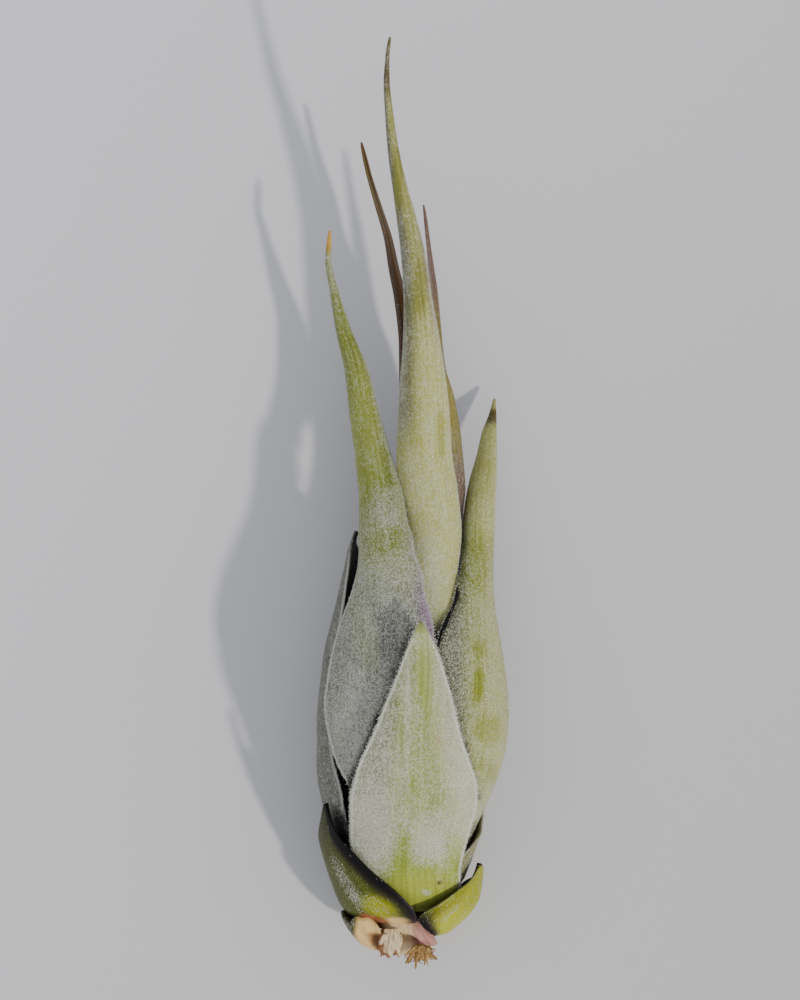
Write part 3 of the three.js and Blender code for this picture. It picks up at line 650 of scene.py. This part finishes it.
# Leaf skin with its coat rubbed off in places: silver and matt, with green patches of bare flesh
right_leaf = plant_skin("scaly leaf skin with worn green patches", green="#8c9328", deep="#727a20",
                        grey="#434330", gold="#b1ae68", blush="#7d5a66", dry="#4e3c1e", cream="#c9c394",
                        silver="#e4e3c2", inner="#525539")


def right_long_paint(points, t, v):
    x, y = points[..., 0], points[..., 1]
    patches = 0.55 * zone(points, 10.2, -19.6, 1.3, 2.4) + 0.95 * zone(points, 10.1, -23.8, 1.1, 3.3, 6)
    patches += 0.5 * zone(points, 11.3, -29.5, 2.6, 3.0) + 0.4 * zone(points, 11.0, -35.5, 2.4, 3.0)
    silver = 0.34 - 0.48 * patches - 0.06 * smoothstep(-14, 2, y) - 0.13 * zone(points, 10.2, -7, 1.7, 9.5)
    silver += 0.05 * smoothstep(9.0, 6.5, x) * smoothstep(-4, -14, y) + 0.25 * smoothstep(-32, -40, y)
    gold = 0.70 * smoothstep(8.0, 12.5, x) * smoothstep(-6, -16, y) * (1 - patches)
    gold += 0.65 * smoothstep(-8, -2, y)
    # Darker grey on the left side: partly grey flesh, partly painted shade where it turns down away from the
    # light
    grey = 0.9 * smoothstep(9.6, 7.2, x) * smoothstep(-6, -16, y)
    silver += 0.35 * smoothstep(0.22, 0.45, v) * smoothstep(-16, -8, y)
    silver -= 0.14 * smoothstep(0.30, 0.05, v) * smoothstep(-4, 2, y)
    very_tip = smoothstep(0.972, 0.982, t)
    gold += very_tip
    dry = 0.9 * smoothstep(0.93, 0.955, t) * (1 - 0.8 * very_tip)
    # Painted shade: near-black stripes beside the front leaf's right margin, low at the foot and along the
    # left margin
    crevice = 0.85 * stripe(points, (8.0, -31.5), (10.0, -38.5), 0.9) + 0.6 * smoothstep(-41, -43, y)
    crevice += 0.35 * stripe(points, (4.6, -18.0), (8.0, -31.5), 1.5)
    crevice += 0.9 * stripe(points, (7.2, -12.0), (4.5, -18.6), 0.8)
    crevice += 0.55 * smoothstep(-0.62, -0.95, v) * smoothstep(-19, -15, y) * smoothstep(4, -2, y)
    return {"silver": silver - 0.4 * smoothstep(0.93, 0.97, t), "gold": gold, "grey": grey, "dry": dry,
            "crevice": np.clip(crevice, 0, 1)}


right_long = Leaf(level=2, seed=15, leaves=-19, free=-5, span=[
    (-53, 48, 60), (-44, 46, 42), (-36, 48, 44), (-26, 56, 53), (-18.5, 60, 45), (-13.8, 62, 45),
    (-9.5, 60, 63), (-5, 36, 102), (2, 34, 110), (8, 38, 112), (13.6, 42, 115)], blade=[
    (-24, 6, 10.2, 8.0), (-13.8, 9.6, 10.0, 3.4), (-9.2, 10.0, 9.8, 2.6), (-5.1, 10.2, 9.5, 2.3),
    (-1.0, 10.5, 8.8, 2.1), (2.2, 10.9, 7.8, 1.85), (5.8, 11.5, 6.2, 1.4), (9.1, 11.9, 4.7, 1.0),
    (11.5, 12.4, 3.5, 0.55), (13.7, 12.7, 2.4, 0.34)],
    tuck=[(-20, 0, 0), (-16, 0.25, 0), (-12, 0.4, 0), (-8, 0.3, 0), (-4, 0, 0)])
hang_leaf("leaf_right_long", right_long, right_long_paint, right_leaf, rows=200, scales=22000,
          hairs=1800, rim=(0.0, 1.0))


# Short leaves behind
# A short leaf behind the left long one, of which the grey edge and the dark inner face show from in front,
# and an olive one that clasps the bulb from below on the right. Both are darker than the leaves in front; on
# the left one the dark grey and the near-black inner face are painted shade.

# Leaf skin darkened as painted shade, for the leaf in shade on the left: dull and grey, with a nearly black
# inner face. The olive skin shares its darker flesh colours.
DARKER_FLESH_BEHIND = {"grey": "#5a5a50", "gold": "#857f42", "blush": "#5e464f", "dry": "#4a3823", "cream": "#57554b"}
shade_darkened_leaf = plant_skin("dark grey-green leaf skin behind, darkened as painted shade", green="#62662c", deep="#484b20",
                         silver="#aeaea4", inner="#0c0809", **DARKER_FLESH_BEHIND)
olive_leaf = plant_skin("olive skin of the lowest leaf on the right", green="#74702c", deep="#55521f",
                        silver="#bdbdb3", inner="#77733c", **DARKER_FLESH_BEHIND)


def left_short_paint(points, t, v):
    x, y = points[..., 0], points[..., 1]
    # Painted shade: near-black stripes along the gap under the left long leaf and low at the foot
    crevice = 0.8 * stripe(points, (-9.4, -28.5), (-7.0, -37.5), 0.6)
    crevice += 0.9 * smoothstep(-39.0, -41.5, y) * smoothstep(-9.3, -8.2, x)
    return {"silver": 0.28, "grey": 0.9, "dry": 0.6 * smoothstep(0.96, 1, t),
            "crevice": np.clip(crevice, 0, 1)}


left_short = Leaf(level=2, seed=16, span=[
    (-53, -108, 50), (-48, -105.5, 49), (-44, -102.5, 52), (-38, -101, 52), (-33, -103.5, 47.5),
    (-30, -104, 46), (-20, -103, 42), (-12, -101, 34), (-7, -99, 25), (-4, -88, 4)], lift=[
    (-51, 0), (-46, 1.0), (-42, 1.3), (-38, 0.9), (-34, 0.3), (-31, 0), (-24, 0.1), (-20, 0.3), (-12, 0.35),
    (-7, 0.3), (-4, -0.2)])
hang_leaf("leaf_left_short", left_short, left_short_paint, shade_darkened_leaf, scales=8000)


def right_under_paint(points, t, v):
    y = points[..., 1]
    # Painted shade low at the foot, under the leaves in front
    return {"silver": 0.26, "gold": 0.7, "dry": 0.3 * smoothstep(0.9, 1, t),
            "crevice": 0.6 * smoothstep(-49.5, -52, y)}


right_under = Leaf(level=1, seed=17, span=[
    (-53, 96, 50), (-49.5, 94, 50), (-46.5, 98, 45), (-44.8, 106, 37), (-43, 122, 22), (-40, 131, 15),
    (-36, 134, 15), (-30, 133, 15), (-22, 132, 11), (-17, 130, 3)])
hang_leaf("leaf_right_under_short", right_under, right_under_paint, olive_leaf, scales=4000,
          hairs=200, rim=(0.3, 0.3))


# Back long leaves
# Two slim leaves that grow out of the bulb behind the tallest one and roll in to spikes, purple on the right
# and dry brown on the left.

# Skin with little coat: smooth and darker, purple over olive where it lives and brown where it has dried
purple_leaf = plant_skin("purple and olive skin of a slim leaf", green="#857b3a", deep="#685c2a",
                         grey="#5c5347", gold="#948a3e", blush="#6c4a50", dry="#5d4328", cream="#756b60",
                         silver="#b9b09c", inner="#241a1b")
brown_leaf = plant_skin("brown dry skin of a slim leaf", green="#6a4d24", deep="#4b341a", grey="#5a4c3a",
                        gold="#8a7440", blush="#5d4038", dry="#4a2f12", cream="#756b60", silver="#b09e84",
                        inner="#33241a", roughness=0.55, scaly=0.4)


def back_right_paint(points, t, v):
    y = points[..., 1]
    gold = 0.5 * zone(points, 5.5, 12, 3.0, 7.0)
    blush = 0.8 * smoothstep(20, 30, y) + 0.55 * smoothstep(8, 2, y)
    return {"silver": 0.14 - 0.1 * smoothstep(6, 12, y), "gold": gold, "grey": 0.6 * smoothstep(8, 2, y),
            "blush": blush, "dry": 0.3 * smoothstep(34, 38, y)}


back_right = Leaf(level=4, seed=18, leaves=-17, free=-1, span=[
    (-50, 140, 95), (-40, 138, 80), (-20, 130, 58), (-12, 120, 48), (-5, 102, 58), (2, 86, 72),
    (15, 82, 90), (38.6, 90, 110)], blade=[
    (-20, 5.0, 9.5, 5.0), (-8, 5.5, 8.2, 3.0), (-1.8, 5.75, 7.9, 2.67), (1.7, 6.2, 8.4, 2.55),
    (7, 6.0, 9.3, 2.25), (13, 5.4, 10.2, 1.85), (17.9, 4.6, 10.7, 1.3), (22.8, 4.4, 11.2, 1.0),
    (27, 4.2, 11.6, 0.8), (31, 3.8, 11.9, 0.6), (34, 3.5, 12.1, 0.45), (38.9, 3.0, 12.3, 0.34)])
hang_leaf("leaf_back_right_long", back_right, back_right_paint, purple_leaf, rows=220,
          columns=32, scales=6000, rim=(0.3, 0.3))


def back_left_paint(points, t, v):
    y = points[..., 1]
    return {"silver": -0.05 - 0.12 * smoothstep(20, 40, y), "gold": 0.8 * smoothstep(29, 40, y),
            "dry": 0.95 * smoothstep(4, 18, y) * (1 - 0.65 * smoothstep(31, 42, y))}


back_left = Leaf(level=5, seed=19, leaves=-17, free=-1, span=[
    (-49, -150, 100), (-40, -150, 84), (-20, -146, 68), (-12, -140, 58), (-5, -140, 60), (10, -145, 80),
    (30, -140, 100), (47.2, -130, 115)], blade=[
    (-20, 0.6, 9.5, 4.0), (-8, 0.8, 9.2, 2.8), (0, 1.3, 9.0, 2.2), (10, 1.6, 8.9, 1.75),
    (20, 1.2, 9.0, 1.35), (26.5, 0.2, 9.1, 1.0), (30.3, -0.7, 9.2, 0.8), (34.4, -1.5, 9.2, 0.62),
    (39, -2.9, 9.2, 0.5), (43, -4.1, 9.1, 0.4), (47.2, -5.1, 9.0, 0.34)])
hang_leaf("leaf_back_left_long", back_left, back_left_paint, brown_leaf, rows=220,
          columns=32, scales=3000, hairs=60, rim=(0.1, 0.1))


# Bracts at the foot
# Three small thick leaves clasp the foot. They are greener and smoother than the leaves, because most of
# their scales are rubbed off, and the lowest one is torn off short.

# Thick waxy skin with few scales: deep green with a soft shine. Its near-black purple blush is painted shade,
# laid as a band along the margins
green_bract = plant_skin("smooth green bract skin", green="#60641a", deep="#404512", grey="#34351a",
                         gold="#b3b40e", blush="#1f1420", dry="#17130b", cream="#efc983",
                         silver="#cbccb6", inner="#17100f", roughness=0.42, scaly=0.65, shine=0.1)


def left_bract_paint(points, t, v):
    y = points[..., 1]
    silver = -0.02 + 0.20 * zone(points, -7.0, -50.0, 1.2, 5.5, -27)
    silver += 0.08 * zone(points, -3.6, -52.4, 4.5, 1.6, 30)
    top = smoothstep(0.50, 0.95, t)
    low = smoothstep(-49.5, -53, y)
    # Painted shade: a near-black purple band along the margin that the front leaf shades, and near black at
    # the tip
    painted_margin_shade = smoothstep(0.60 - 0.45 * top + 0.14 * low, 0.93 - 0.25 * top + 0.04 * low, v)
    crevice = painted_margin_shade * (1 - 0.6 * low) + 0.7 * smoothstep(0.9, 1.0, t)
    rust = 0.95 * stripe(points, (-4.7, -54.4), (-1.9, -55.1), 0.75)
    return {"silver": silver - 0.4 * painted_margin_shade, "grey": 0.85 * top + 0.15 * smoothstep(0.0, 0.6, v), "rust": rust,
            "gold": 0.60 * zone(points, -2.8, -53.0, 3.4, 2.0, 25), "blush": painted_margin_shade,
            "cream": 0.9 * zone(points, -0.6, -55.0, 2.4, 1.0), "dry": smoothstep(0.93, 1.0, t),
            "crevice": np.clip(0.92 * crevice, 0, 1)}


left_bract = Leaf(seed=20, tip_taper=1.0, profile=[
    (-55.6, 2.95), (-55.5, 5.4), (-55.0, 7.2), (-53.6, 8.7), (-50.4, 9.95), (-47, 11.0), (-43.5, 11.9),
    (-39.4, 12.8)], span=[
    (-55.6, -65, 76), (-54, -66, 74), (-52, -65, 64), (-48.3, -71, 47), (-45.4, -66, 27), (-43.4, -64, 14.5),
    (-41.4, -62, 6.5), (-39.4, -60, 0.8)])
hang_leaf("bract_left", left_bract, left_bract_paint, green_bract, rows=120, scales=1300,
          hairs=12, rim=(0.1, 0.1))


def right_bract_paint(points, t, v):
    silver = -0.22 + 0.24 * zone(points, 6.0, -53.9, 1.5, 5.0, 50)
    low = smoothstep(0.62, 0.36, t)
    # Painted shade: a near-black purple band along the left margin, strongest low down, and near black at the
    # tip
    painted_margin_shade = smoothstep(0.60, 0.95, -v) * (0.25 + 0.75 * low)
    dry = smoothstep(0.95, 1.0, t)
    return {"silver": silver - 0.3 * painted_margin_shade, "gold": 0.95 - 0.3 * (1 - low), "blush": painted_margin_shade,
            "cream": 0.9 * zone(points, 1.0, -56.8, 2.4, 1.5, 30), "dry": dry,
            "rust": 0.35 * zone(points, 1.2, -57.0, 2.6, 1.5, 30),
            "crevice": np.clip(0.92 * low * smoothstep(0.66, 0.96, -v) + 0.6 * dry, 0, 1)}


right_bract = Leaf(seed=21, profile=[
    (-57.6, 4.0), (-57.3, 5.2), (-56.3, 6.6), (-54.3, 8.7), (-52.3, 9.7), (-50.4, 10.0), (-47.6, 10.2)],
    span=[(-57.6, 88, 49), (-56.8, 84, 54), (-55.8, 78, 61), (-54.5, 74.5, 64), (-52.5, 81, 55),
          (-50.8, 84, 42), (-49.6, 80, 23), (-48.7, 76, 12), (-47.6, 73, 0.8)])
hang_leaf("bract_right", right_bract, right_bract_paint, green_bract, rows=100, scales=1500,
          hairs=12, rim=(0.1, 0.1))


def torn_bract_paint(points, t, v):
    x, y = points[..., 0], points[..., 1]
    cream = smoothstep(-6.6, -5.7, x - 0.15 * (y + 58.5))
    edge = smoothstep(0.64, 0.88, v) * smoothstep(-56.3, -57.2, y)
    return {"silver": 0.05 - 0.6 * cream, "cream": cream, "grey": 0.7 * (1 - cream), "dry": 0.65 * edge,
            "rust": np.clip(0.6 * smoothstep(0.90, 1.0, t) * cream + 0.8 * edge, 0, 1)}


torn_bract = Leaf(seed=22, tear=lambda v: 0.45 * np.sin(9 * v + 1) + 0.2 * np.sin(23 * v), profile=[
    (-59.7, 4.0), (-59.3, 5.4), (-58.6, 6.6), (-57.2, 7.7), (-55.6, 8.5), (-53.4, 9.2)],
    tuck=[(-59.7, 0, 0), (-58.6, 0, 0.6), (-57, 0, 0.9), (-54.95, 0, 0.9)],
    span=[(-59.7, -88, 54), (-58.2, -87, 56), (-57, -86.5, 57), (-55.8, -87, 58), (-54.95, -88, 57)])
hang_leaf("bract_torn", torn_bract, torn_bract_paint, green_bract, rows=60, scales=700,
          hairs=12, rim=(0.1, 0.1))


# Stem
# The short flattened stem that every leaf stands on, cream and pink flesh ringed by the scars of lost
# leaves, with an orange-brown spot where one was torn off.

# Bare flesh without a coat: smooth, waxy and a little glossy
stem_flesh = plant_skin("waxy stem flesh, cream and pink", green="#dcbb8c", deep="#cda578", grey="#a08a70",
                        gold="#b5763c", blush="#a8666c", dry="#93501c", cream="#e6cfa2", silver="#d8c7b0",
                        inner="#8a6a4c", roughness=0.38, scaly=0.2)


def tube(path, radius, sides):
    """Points and faces of a closed tube along a path, whose radius is given at each point and side."""
    along = unit(np.gradient(path, axis=0))
    side = unit(np.cross(along, [0.15, 0.1, 1.0]))
    over = np.cross(side, along)
    turn = np.linspace(0, 2 * math.pi, sides, endpoint=False)
    ring = np.cos(turn)[None, :, None] * side[:, None] + np.sin(turn)[None, :, None] * over[:, None]
    points = path[:, None] + radius[..., None] * ring
    grid = np.arange(len(path) * sides).reshape(len(path), sides)
    a, b = grid[:-1], np.roll(grid, -1, axis=1)[:-1]
    quads = np.stack([a, b, b + sides, a + sides], -1).reshape(-1, 4).tolist()
    return points.reshape(-1, 3), quads + [grid[0, ::-1].tolist(), grid[-1].tolist()]


def plain_layers(points, skin_mm, **painted):
    """The attributes of a skin that is no leaf, where what isn't painted is nought."""
    layers = {key: painted.get(key, 0.0) + np.zeros(len(points)) for key in PAINTS}
    layers["skin_mm"] = skin_mm
    return layers


STEM_SIDES = 96
FLAP_ARC_RADIUS = 5.5
FLAP_ARC_CENTRE = (1.0, 7.2)
FLAP_THICKNESS = 0.5
STEM_PROFILE = [
    (-60.3, 0.05), (-60.2, 2.0), (-59.8, 3.0), (-58.8, 3.5), (-57.6, 3.6), (-56.5, 3.45), (-55.7, 3.3),
    (-55.2, 2.5), (-54.0, 2.3), (-50.0, 2.1), (-46.0, 1.8), (-44.4, 1.3), (-44.0, 0.05)]

stem_y = np.concatenate([np.linspace(-60.3, -55.5, 90), np.linspace(-55.4, -44.0, 60)])
stem_radius = curve_through(STEM_PROFILE, 1)(stem_y)
stem_turn = np.linspace(0, 2 * math.pi, STEM_SIDES, endpoint=False)

# Rings of scars 0.9 mm apart and five soft furrows, with a swelling on the left and a thicker neck on the
# right that closes the space between the feet of the leaves
scars = 0.03 * np.sin(stem_y * 7.0)[:, None] + 0.06 * np.sin(5 * stem_turn + stem_y[:, None])
stem_path = np.stack([0 * stem_y, stem_y, 0 * stem_y], -1)
fleshy = np.maximum(stem_radius[:, None] - 0.10 + scars * smoothstep(0.5, 2.5, stem_radius)[:, None], 0.03)
stem_points, stem_faces = tube(stem_path, fleshy, STEM_SIDES)
azimuth = np.arctan2(stem_points[:, 0], stem_points[:, 2])
height = stem_points[:, 1]
swollen = smoothstep(-59.6, -58.2, height) * (1 - smoothstep(-58.4, -57.2, height))
swollen *= 1.15 * np.maximum(np.cos(azimuth - math.radians(-55)), 0)
neck = smoothstep(-56.0, -55.5, height) * (1 - smoothstep(-54.7, -54.3, height))
swollen += 0.95 * neck * np.maximum(np.cos(azimuth - math.radians(85)), 0)
stem_points[:, [0, 2]] *= (1 + swollen / (np.hypot(stem_points[:, 0], stem_points[:, 2]) + 1e-6))[:, None]
stem_points[:, 0] += curve_through(BULB_AXIS, 1)(height)
stem_points[:, 2] = stem_points[:, 2] * BULB_FLATNESS + curve_through(BULB_AXIS, 2)(height)
pink = 0.95 * zone(stem_points, 3.2, -57.4, 2.6, 2.4) + 0.5 * zone(stem_points, 0.8, -56.2, 2.0, 0.9)
pink = np.clip(pink, 0, 1)
spot = 0.8 * zone(stem_points, -2.4, -56.6, 1.2, 0.8)
# Painted shade on the neck, where it shows between the feet of the leaves
shaded = 0.85 * smoothstep(-55.8, -55.2, height)

# The torn edge of a lost leaf, a waxy flap that lies across the front of the stem
flap_middle = [(-3.6, -55.4, 0.85), (-1.6, -55.4, 1.05), (0.4, -55.6, 1.05), (2.4, -56.4, 1.15),
               (4.2, -57.7, 0.75), (4.9, -58.3, 0.12)]
flap_x = np.linspace(flap_middle[0][0], flap_middle[-1][0], 70)
side = np.linspace(-1, 1, 19)
flap_wide = curve_through(flap_middle, 2)(flap_x)[:, None] * (1 + 0.10 * np.sin(3.1 * flap_x))[:, None]
flap_y = curve_through(flap_middle, 1)(flap_x)[:, None]
flap_y = flap_y + (flap_wide + 0.05 * np.sin(5 * flap_x)[:, None]) * side
flap_reach = np.sqrt(np.maximum(FLAP_ARC_RADIUS ** 2 - (flap_x - FLAP_ARC_CENTRE[0]) ** 2, 1.0))[:, None]
flap_z = FLAP_ARC_CENTRE[1] + BULB_FLATNESS * flap_reach + 0.30 * (1 - side ** 2)
flap_z = flap_z + 0.06 * np.sin(4 * flap_x[:, None] + 3 * side)
flap = np.stack([flap_x[:, None] + 0 * flap_z, flap_y, flap_z], -1)
flap_points, flap_faces = closed_shell(flap, flap - [0.0, 0.0, FLAP_THICKNESS])


def joined(parts):
    """Points and faces of several closed shells that lie together in one piece."""
    faces = []
    first = 0
    for points, own_faces in parts:
        faces += [[int(corner) + first for corner in face] for face in own_faces]
        first += len(points)
    return np.concatenate([points for points, _ in parts]), faces


all_points, all_faces = joined([(stem_points, stem_faces), (flap_points, flap_faces)])
on_flap = np.repeat([0.0, 1.0], [len(stem_points), len(flap_points)])
pink = np.concatenate([pink, 0.85 * smoothstep(-0.4, 2.8, flap_points[:, 0])])
spot = np.concatenate([spot, 0.9 * smoothstep(-1.2, -2.6, flap_points[:, 0])])
shaded = np.concatenate([shaded, 0 * flap_points[:, 0]])
hang("stem", all_points, all_faces,
     plain_layers(all_points, all_points, silver=-0.6, blush=pink, rust=np.clip(spot, 0, 1),
                  cream=(0.35 + 0.4 * on_flap) * (1 - pink), crevice=shaded),
     [stem_flesh], np.zeros(len(all_faces), int))


# Dry scale
# A dead scale of the foot, dried to cream paper and curled up on the end of the stem. Its rim is brown, and
# it has split into scraps that lie over one another.

# Dead leaf paper: matt, thin and ridged, cream where it is clean and brown along its torn edges
dry_paper = plant_skin("cream dry scale, papery and ridged", green="#f5e6c6", deep="#d9b986",
                       grey="#a08a70", gold="#9a6a34", blush="#a0705c", dry="#7e4519", cream="#e6d5b0",
                       silver="#dccbb0", inner="#b79a70", roughness=0.6, scaly=0.25)
HUSK_LENGTH = 4.2
HUSK_RADIUS = 1.5
HUSK_CENTRE = np.array([-1.35, -60.3, 11.35])
HUSK_START = -70
HUSK_SWEEP = 224
HUSK_DEGREES_PER_MM = 38
PAPER_THICKNESS = 0.10
SCRAPS = 11

# The wall of the scale: curled most of the way round, bellied and creased, with a ragged lower end
random = np.random.default_rng(41)
up_share, turn_share = np.meshgrid(np.linspace(0, 1, 61), np.linspace(0, 1, 91), indexing="ij")
turn = np.radians(HUSK_START + HUSK_SWEEP * turn_share)
free_share = 1 - up_share
belly = 1 - 0.28 * (1 - np.sin(math.pi * (8 * up_share + 1) / 9))
curl = HUSK_RADIUS * (1 - 0.12 * np.cos(3 * turn)) * belly - 0.06
curl += 0.16 * np.sin(5 * turn + 6 * up_share) * np.sin(8 * up_share + 2 * turn)
curl += 0.06 * np.sin(15 * turn - 8 * up_share)
reach = HUSK_LENGTH * (1 - free_share * (1 - 0.22 * np.sin(2.4 * turn) ** 2))
reach += (0.16 * np.sin(5 * turn + 1) + 0.05 * np.sin(23 * turn)) * free_share ** 2 + 0.25 * free_share ** 2


def curled(radius):
    return HUSK_CENTRE + np.stack([radius * np.sin(turn), reach, radius * np.cos(turn)], -1)


paper_mm = np.stack([np.degrees(turn) / HUSK_DEGREES_PER_MM, reach, 0 * reach], -1).reshape(-1, 3)
rim_share = np.clip(smoothstep(0.24, 0.08, turn_share) + smoothstep(0.93, 1.0, turn_share)
                    + smoothstep(0.14, 0.02, up_share + 0.08 * np.sin(7 * turn)), 0, 1)
creased = smoothstep(0.2, 0.9, np.sin(7 * turn + 5 * up_share) * np.sin(9 * up_share))
papers = [closed_shell(curled(curl), curled(curl - PAPER_THICKNESS))]
grains = [np.concatenate([paper_mm, paper_mm + [0, 0, 1]])]
browned = [np.tile(rim_share.ravel(), 2)]
tanned = [np.tile(0.6 * (1 - creased).ravel(), 2)]

# Scraps that the old scale has split into, each a curled leaf of paper with a ragged end
along, side = np.meshgrid(np.linspace(0, 1, 29), np.linspace(-1, 1, 17), indexing="ij")
for k in range(SCRAPS):
    phase = random.uniform(0, 2 * math.pi, 4)
    long, wide = random.uniform(1.3, 2.2), random.uniform(0.6, 1.05)
    bend, roll = random.uniform(0.5, 1.4), random.uniform(-1.1, 1.1)
    half = wide * (0.5 + 0.5 * np.sin(math.pi * (0.2 + 0.7 * along)))
    ragged = 1 + 0.14 * np.sin(4 * side + phase[0]) + 0.05 * np.sin(15 * side + phase[1])
    flat_x = half * np.sin(bend * side) / bend
    rise = half * (np.cos(bend * side) - 1) / bend + 0.07 * np.sin(7 * along + phase[2] + 3 * side)
    rise += 0.05 * np.sin(13 * side + phase[3])
    head = math.radians(-90 + random.uniform(-38, 38))
    forward = unit(np.array([math.cos(head), math.sin(head), random.uniform(-0.35, 0.15)]))
    sideways = unit(np.cross(forward, [math.sin(roll), 0.0, math.cos(roll)]))
    upward = np.cross(sideways, forward)
    start = HUSK_CENTRE + [random.uniform(-1.0, 1.1), random.uniform(2.2, 3.6), random.uniform(0.2, 1.15)]
    scrap = (start + forward * (long * along * ragged)[..., None] + sideways * flat_x[..., None]
             + upward * (rise + 0.3 * along - 0.9 * along ** 3)[..., None])
    scrap = np.clip(scrap, HUSK_CENTRE - [1.6, -0.1, 1.2], HUSK_CENTRE + [1.6, 4.1, 1.6])
    inward = unit(np.cross(np.gradient(scrap, axis=0), np.gradient(scrap, axis=1)))
    scrap_mm = np.stack([flat_x * 2.2 + k, along * long, 0 * along], -1).reshape(-1, 3)
    edge = smoothstep(0.72, 1.0, np.abs(side)) * random.uniform(0.2, 1.0)
    edge = np.clip(edge + smoothstep(0.82, 1.0, along), 0, 1)
    brown = 0.8 * smoothstep(0.0, -0.06, rise) * random.uniform(0.2, 1.0) + 0 * along
    papers.append(closed_shell(scrap, scrap + inward * PAPER_THICKNESS))
    grains.append(np.concatenate([scrap_mm, scrap_mm + [0, 0, 1]]))
    browned.append(np.tile(edge.ravel(), 2))
    tanned.append(np.tile(brown.ravel(), 2))

husk_points, husk_faces = joined(papers)
hang("dry_scale", husk_points, husk_faces,
     plain_layers(husk_points, np.concatenate(grains), silver=-0.3, gold=0.45 * np.concatenate(tanned),
                  dry=0.9 * np.concatenate(browned)),
     [dry_paper], np.zeros(len(husk_faces), int))


# Root stub
# The broken end of the old stem and its roots, a woody knot that sits on the end of the stem. Its fibres
# have frayed into a brush of stiff brown shreds.

# Dead root wood: matt and fibrous, tan inside and dark brown where the ends have weathered
fibrous_wood = plant_skin("fibrous brown root wood", green="#c29d64", deep="#8a6432", grey="#8a7354",
                          gold="#c5a368", blush="#7a4a3a", dry="#3f2812", cream="#cdb68c", silver="#c5ad82",
                          inner="#5a4028", roughness=0.75, scaly=0.3)
STUB_CENTRE = np.array([2.7, -59.3, 10.9])
KNOT_SIDES = 40
FIBRES = 95
FIBRE_SIDES = 6

random = np.random.default_rng(31)
stub_parts = []
knot_share = np.linspace(0, 1, 26)
knot_path = STUB_CENTRE + np.stack([-0.2 + 0.3 * knot_share, 1.1 - 1.7 * knot_share, 0 * knot_share], -1)
knot_turn = np.linspace(0, 2 * math.pi, KNOT_SIDES, endpoint=False)
knot_radius = (0.02 + 0.95 * np.sqrt(np.clip(np.sin(math.pi * knot_share), 0, 1)))[:, None]
knot_radius = knot_radius * (1 + 0.13 * np.sin(11 * knot_turn + 4 * knot_share[:, None])
                             + 0.10 * np.sin(5 * knot_turn + 9 * knot_share[:, None]))
stub_parts.append(tube(knot_path, knot_radius, KNOT_SIDES))

# The shreds, each a flattened fibre that bends and thins out towards its end
around_fibre = np.linspace(0, 2 * math.pi, FIBRE_SIDES, endpoint=False)
for _ in range(FIBRES):
    head = math.radians(random.uniform(-150, -15))
    direction = unit(np.array([math.cos(head), math.sin(head), random.uniform(-0.35, 0.5)]))
    start = STUB_CENTRE + [random.uniform(-0.9, 0.9), random.uniform(-0.3, 0.9), random.uniform(-0.4, 0.75)]
    bend = random.normal(0, 0.45, 3)
    share = np.linspace(0, 1, 9)[:, None]
    path = start + direction * share * random.uniform(0.5, 1.5) + bend * share ** 2
    path = np.clip(path, STUB_CENTRE - [2.0, 2.05, 1.0], STUB_CENTRE + [2.0, 3.0, 1.75])
    flattened = 1 + 0.55 * np.cos(2 * around_fibre + random.uniform(0, 3))
    taper = (0.20 - 0.12 * share) * random.uniform(0.5, 1.7) * flattened
    stub_parts.append(tube(path, taper, FIBRE_SIDES))

stub_points, stub_faces = joined(stub_parts)
tone = np.concatenate([np.full(len(part), random.uniform(0, 1)) for part, _ in stub_parts])
frayed = smoothstep(1.0, 2.2, np.linalg.norm(stub_points - STUB_CENTRE, axis=1))
hang("root_stub", stub_points, stub_faces,
     plain_layers(stub_points, stub_points * [3.0, 1.0, 3.0], silver=-0.4, gold=0.6 * tone,
                  dry=0.6 * (1 - tone) * (0.4 + 0.6 * frayed)),
     [fibrous_wood], np.zeros(len(stub_faces), int))
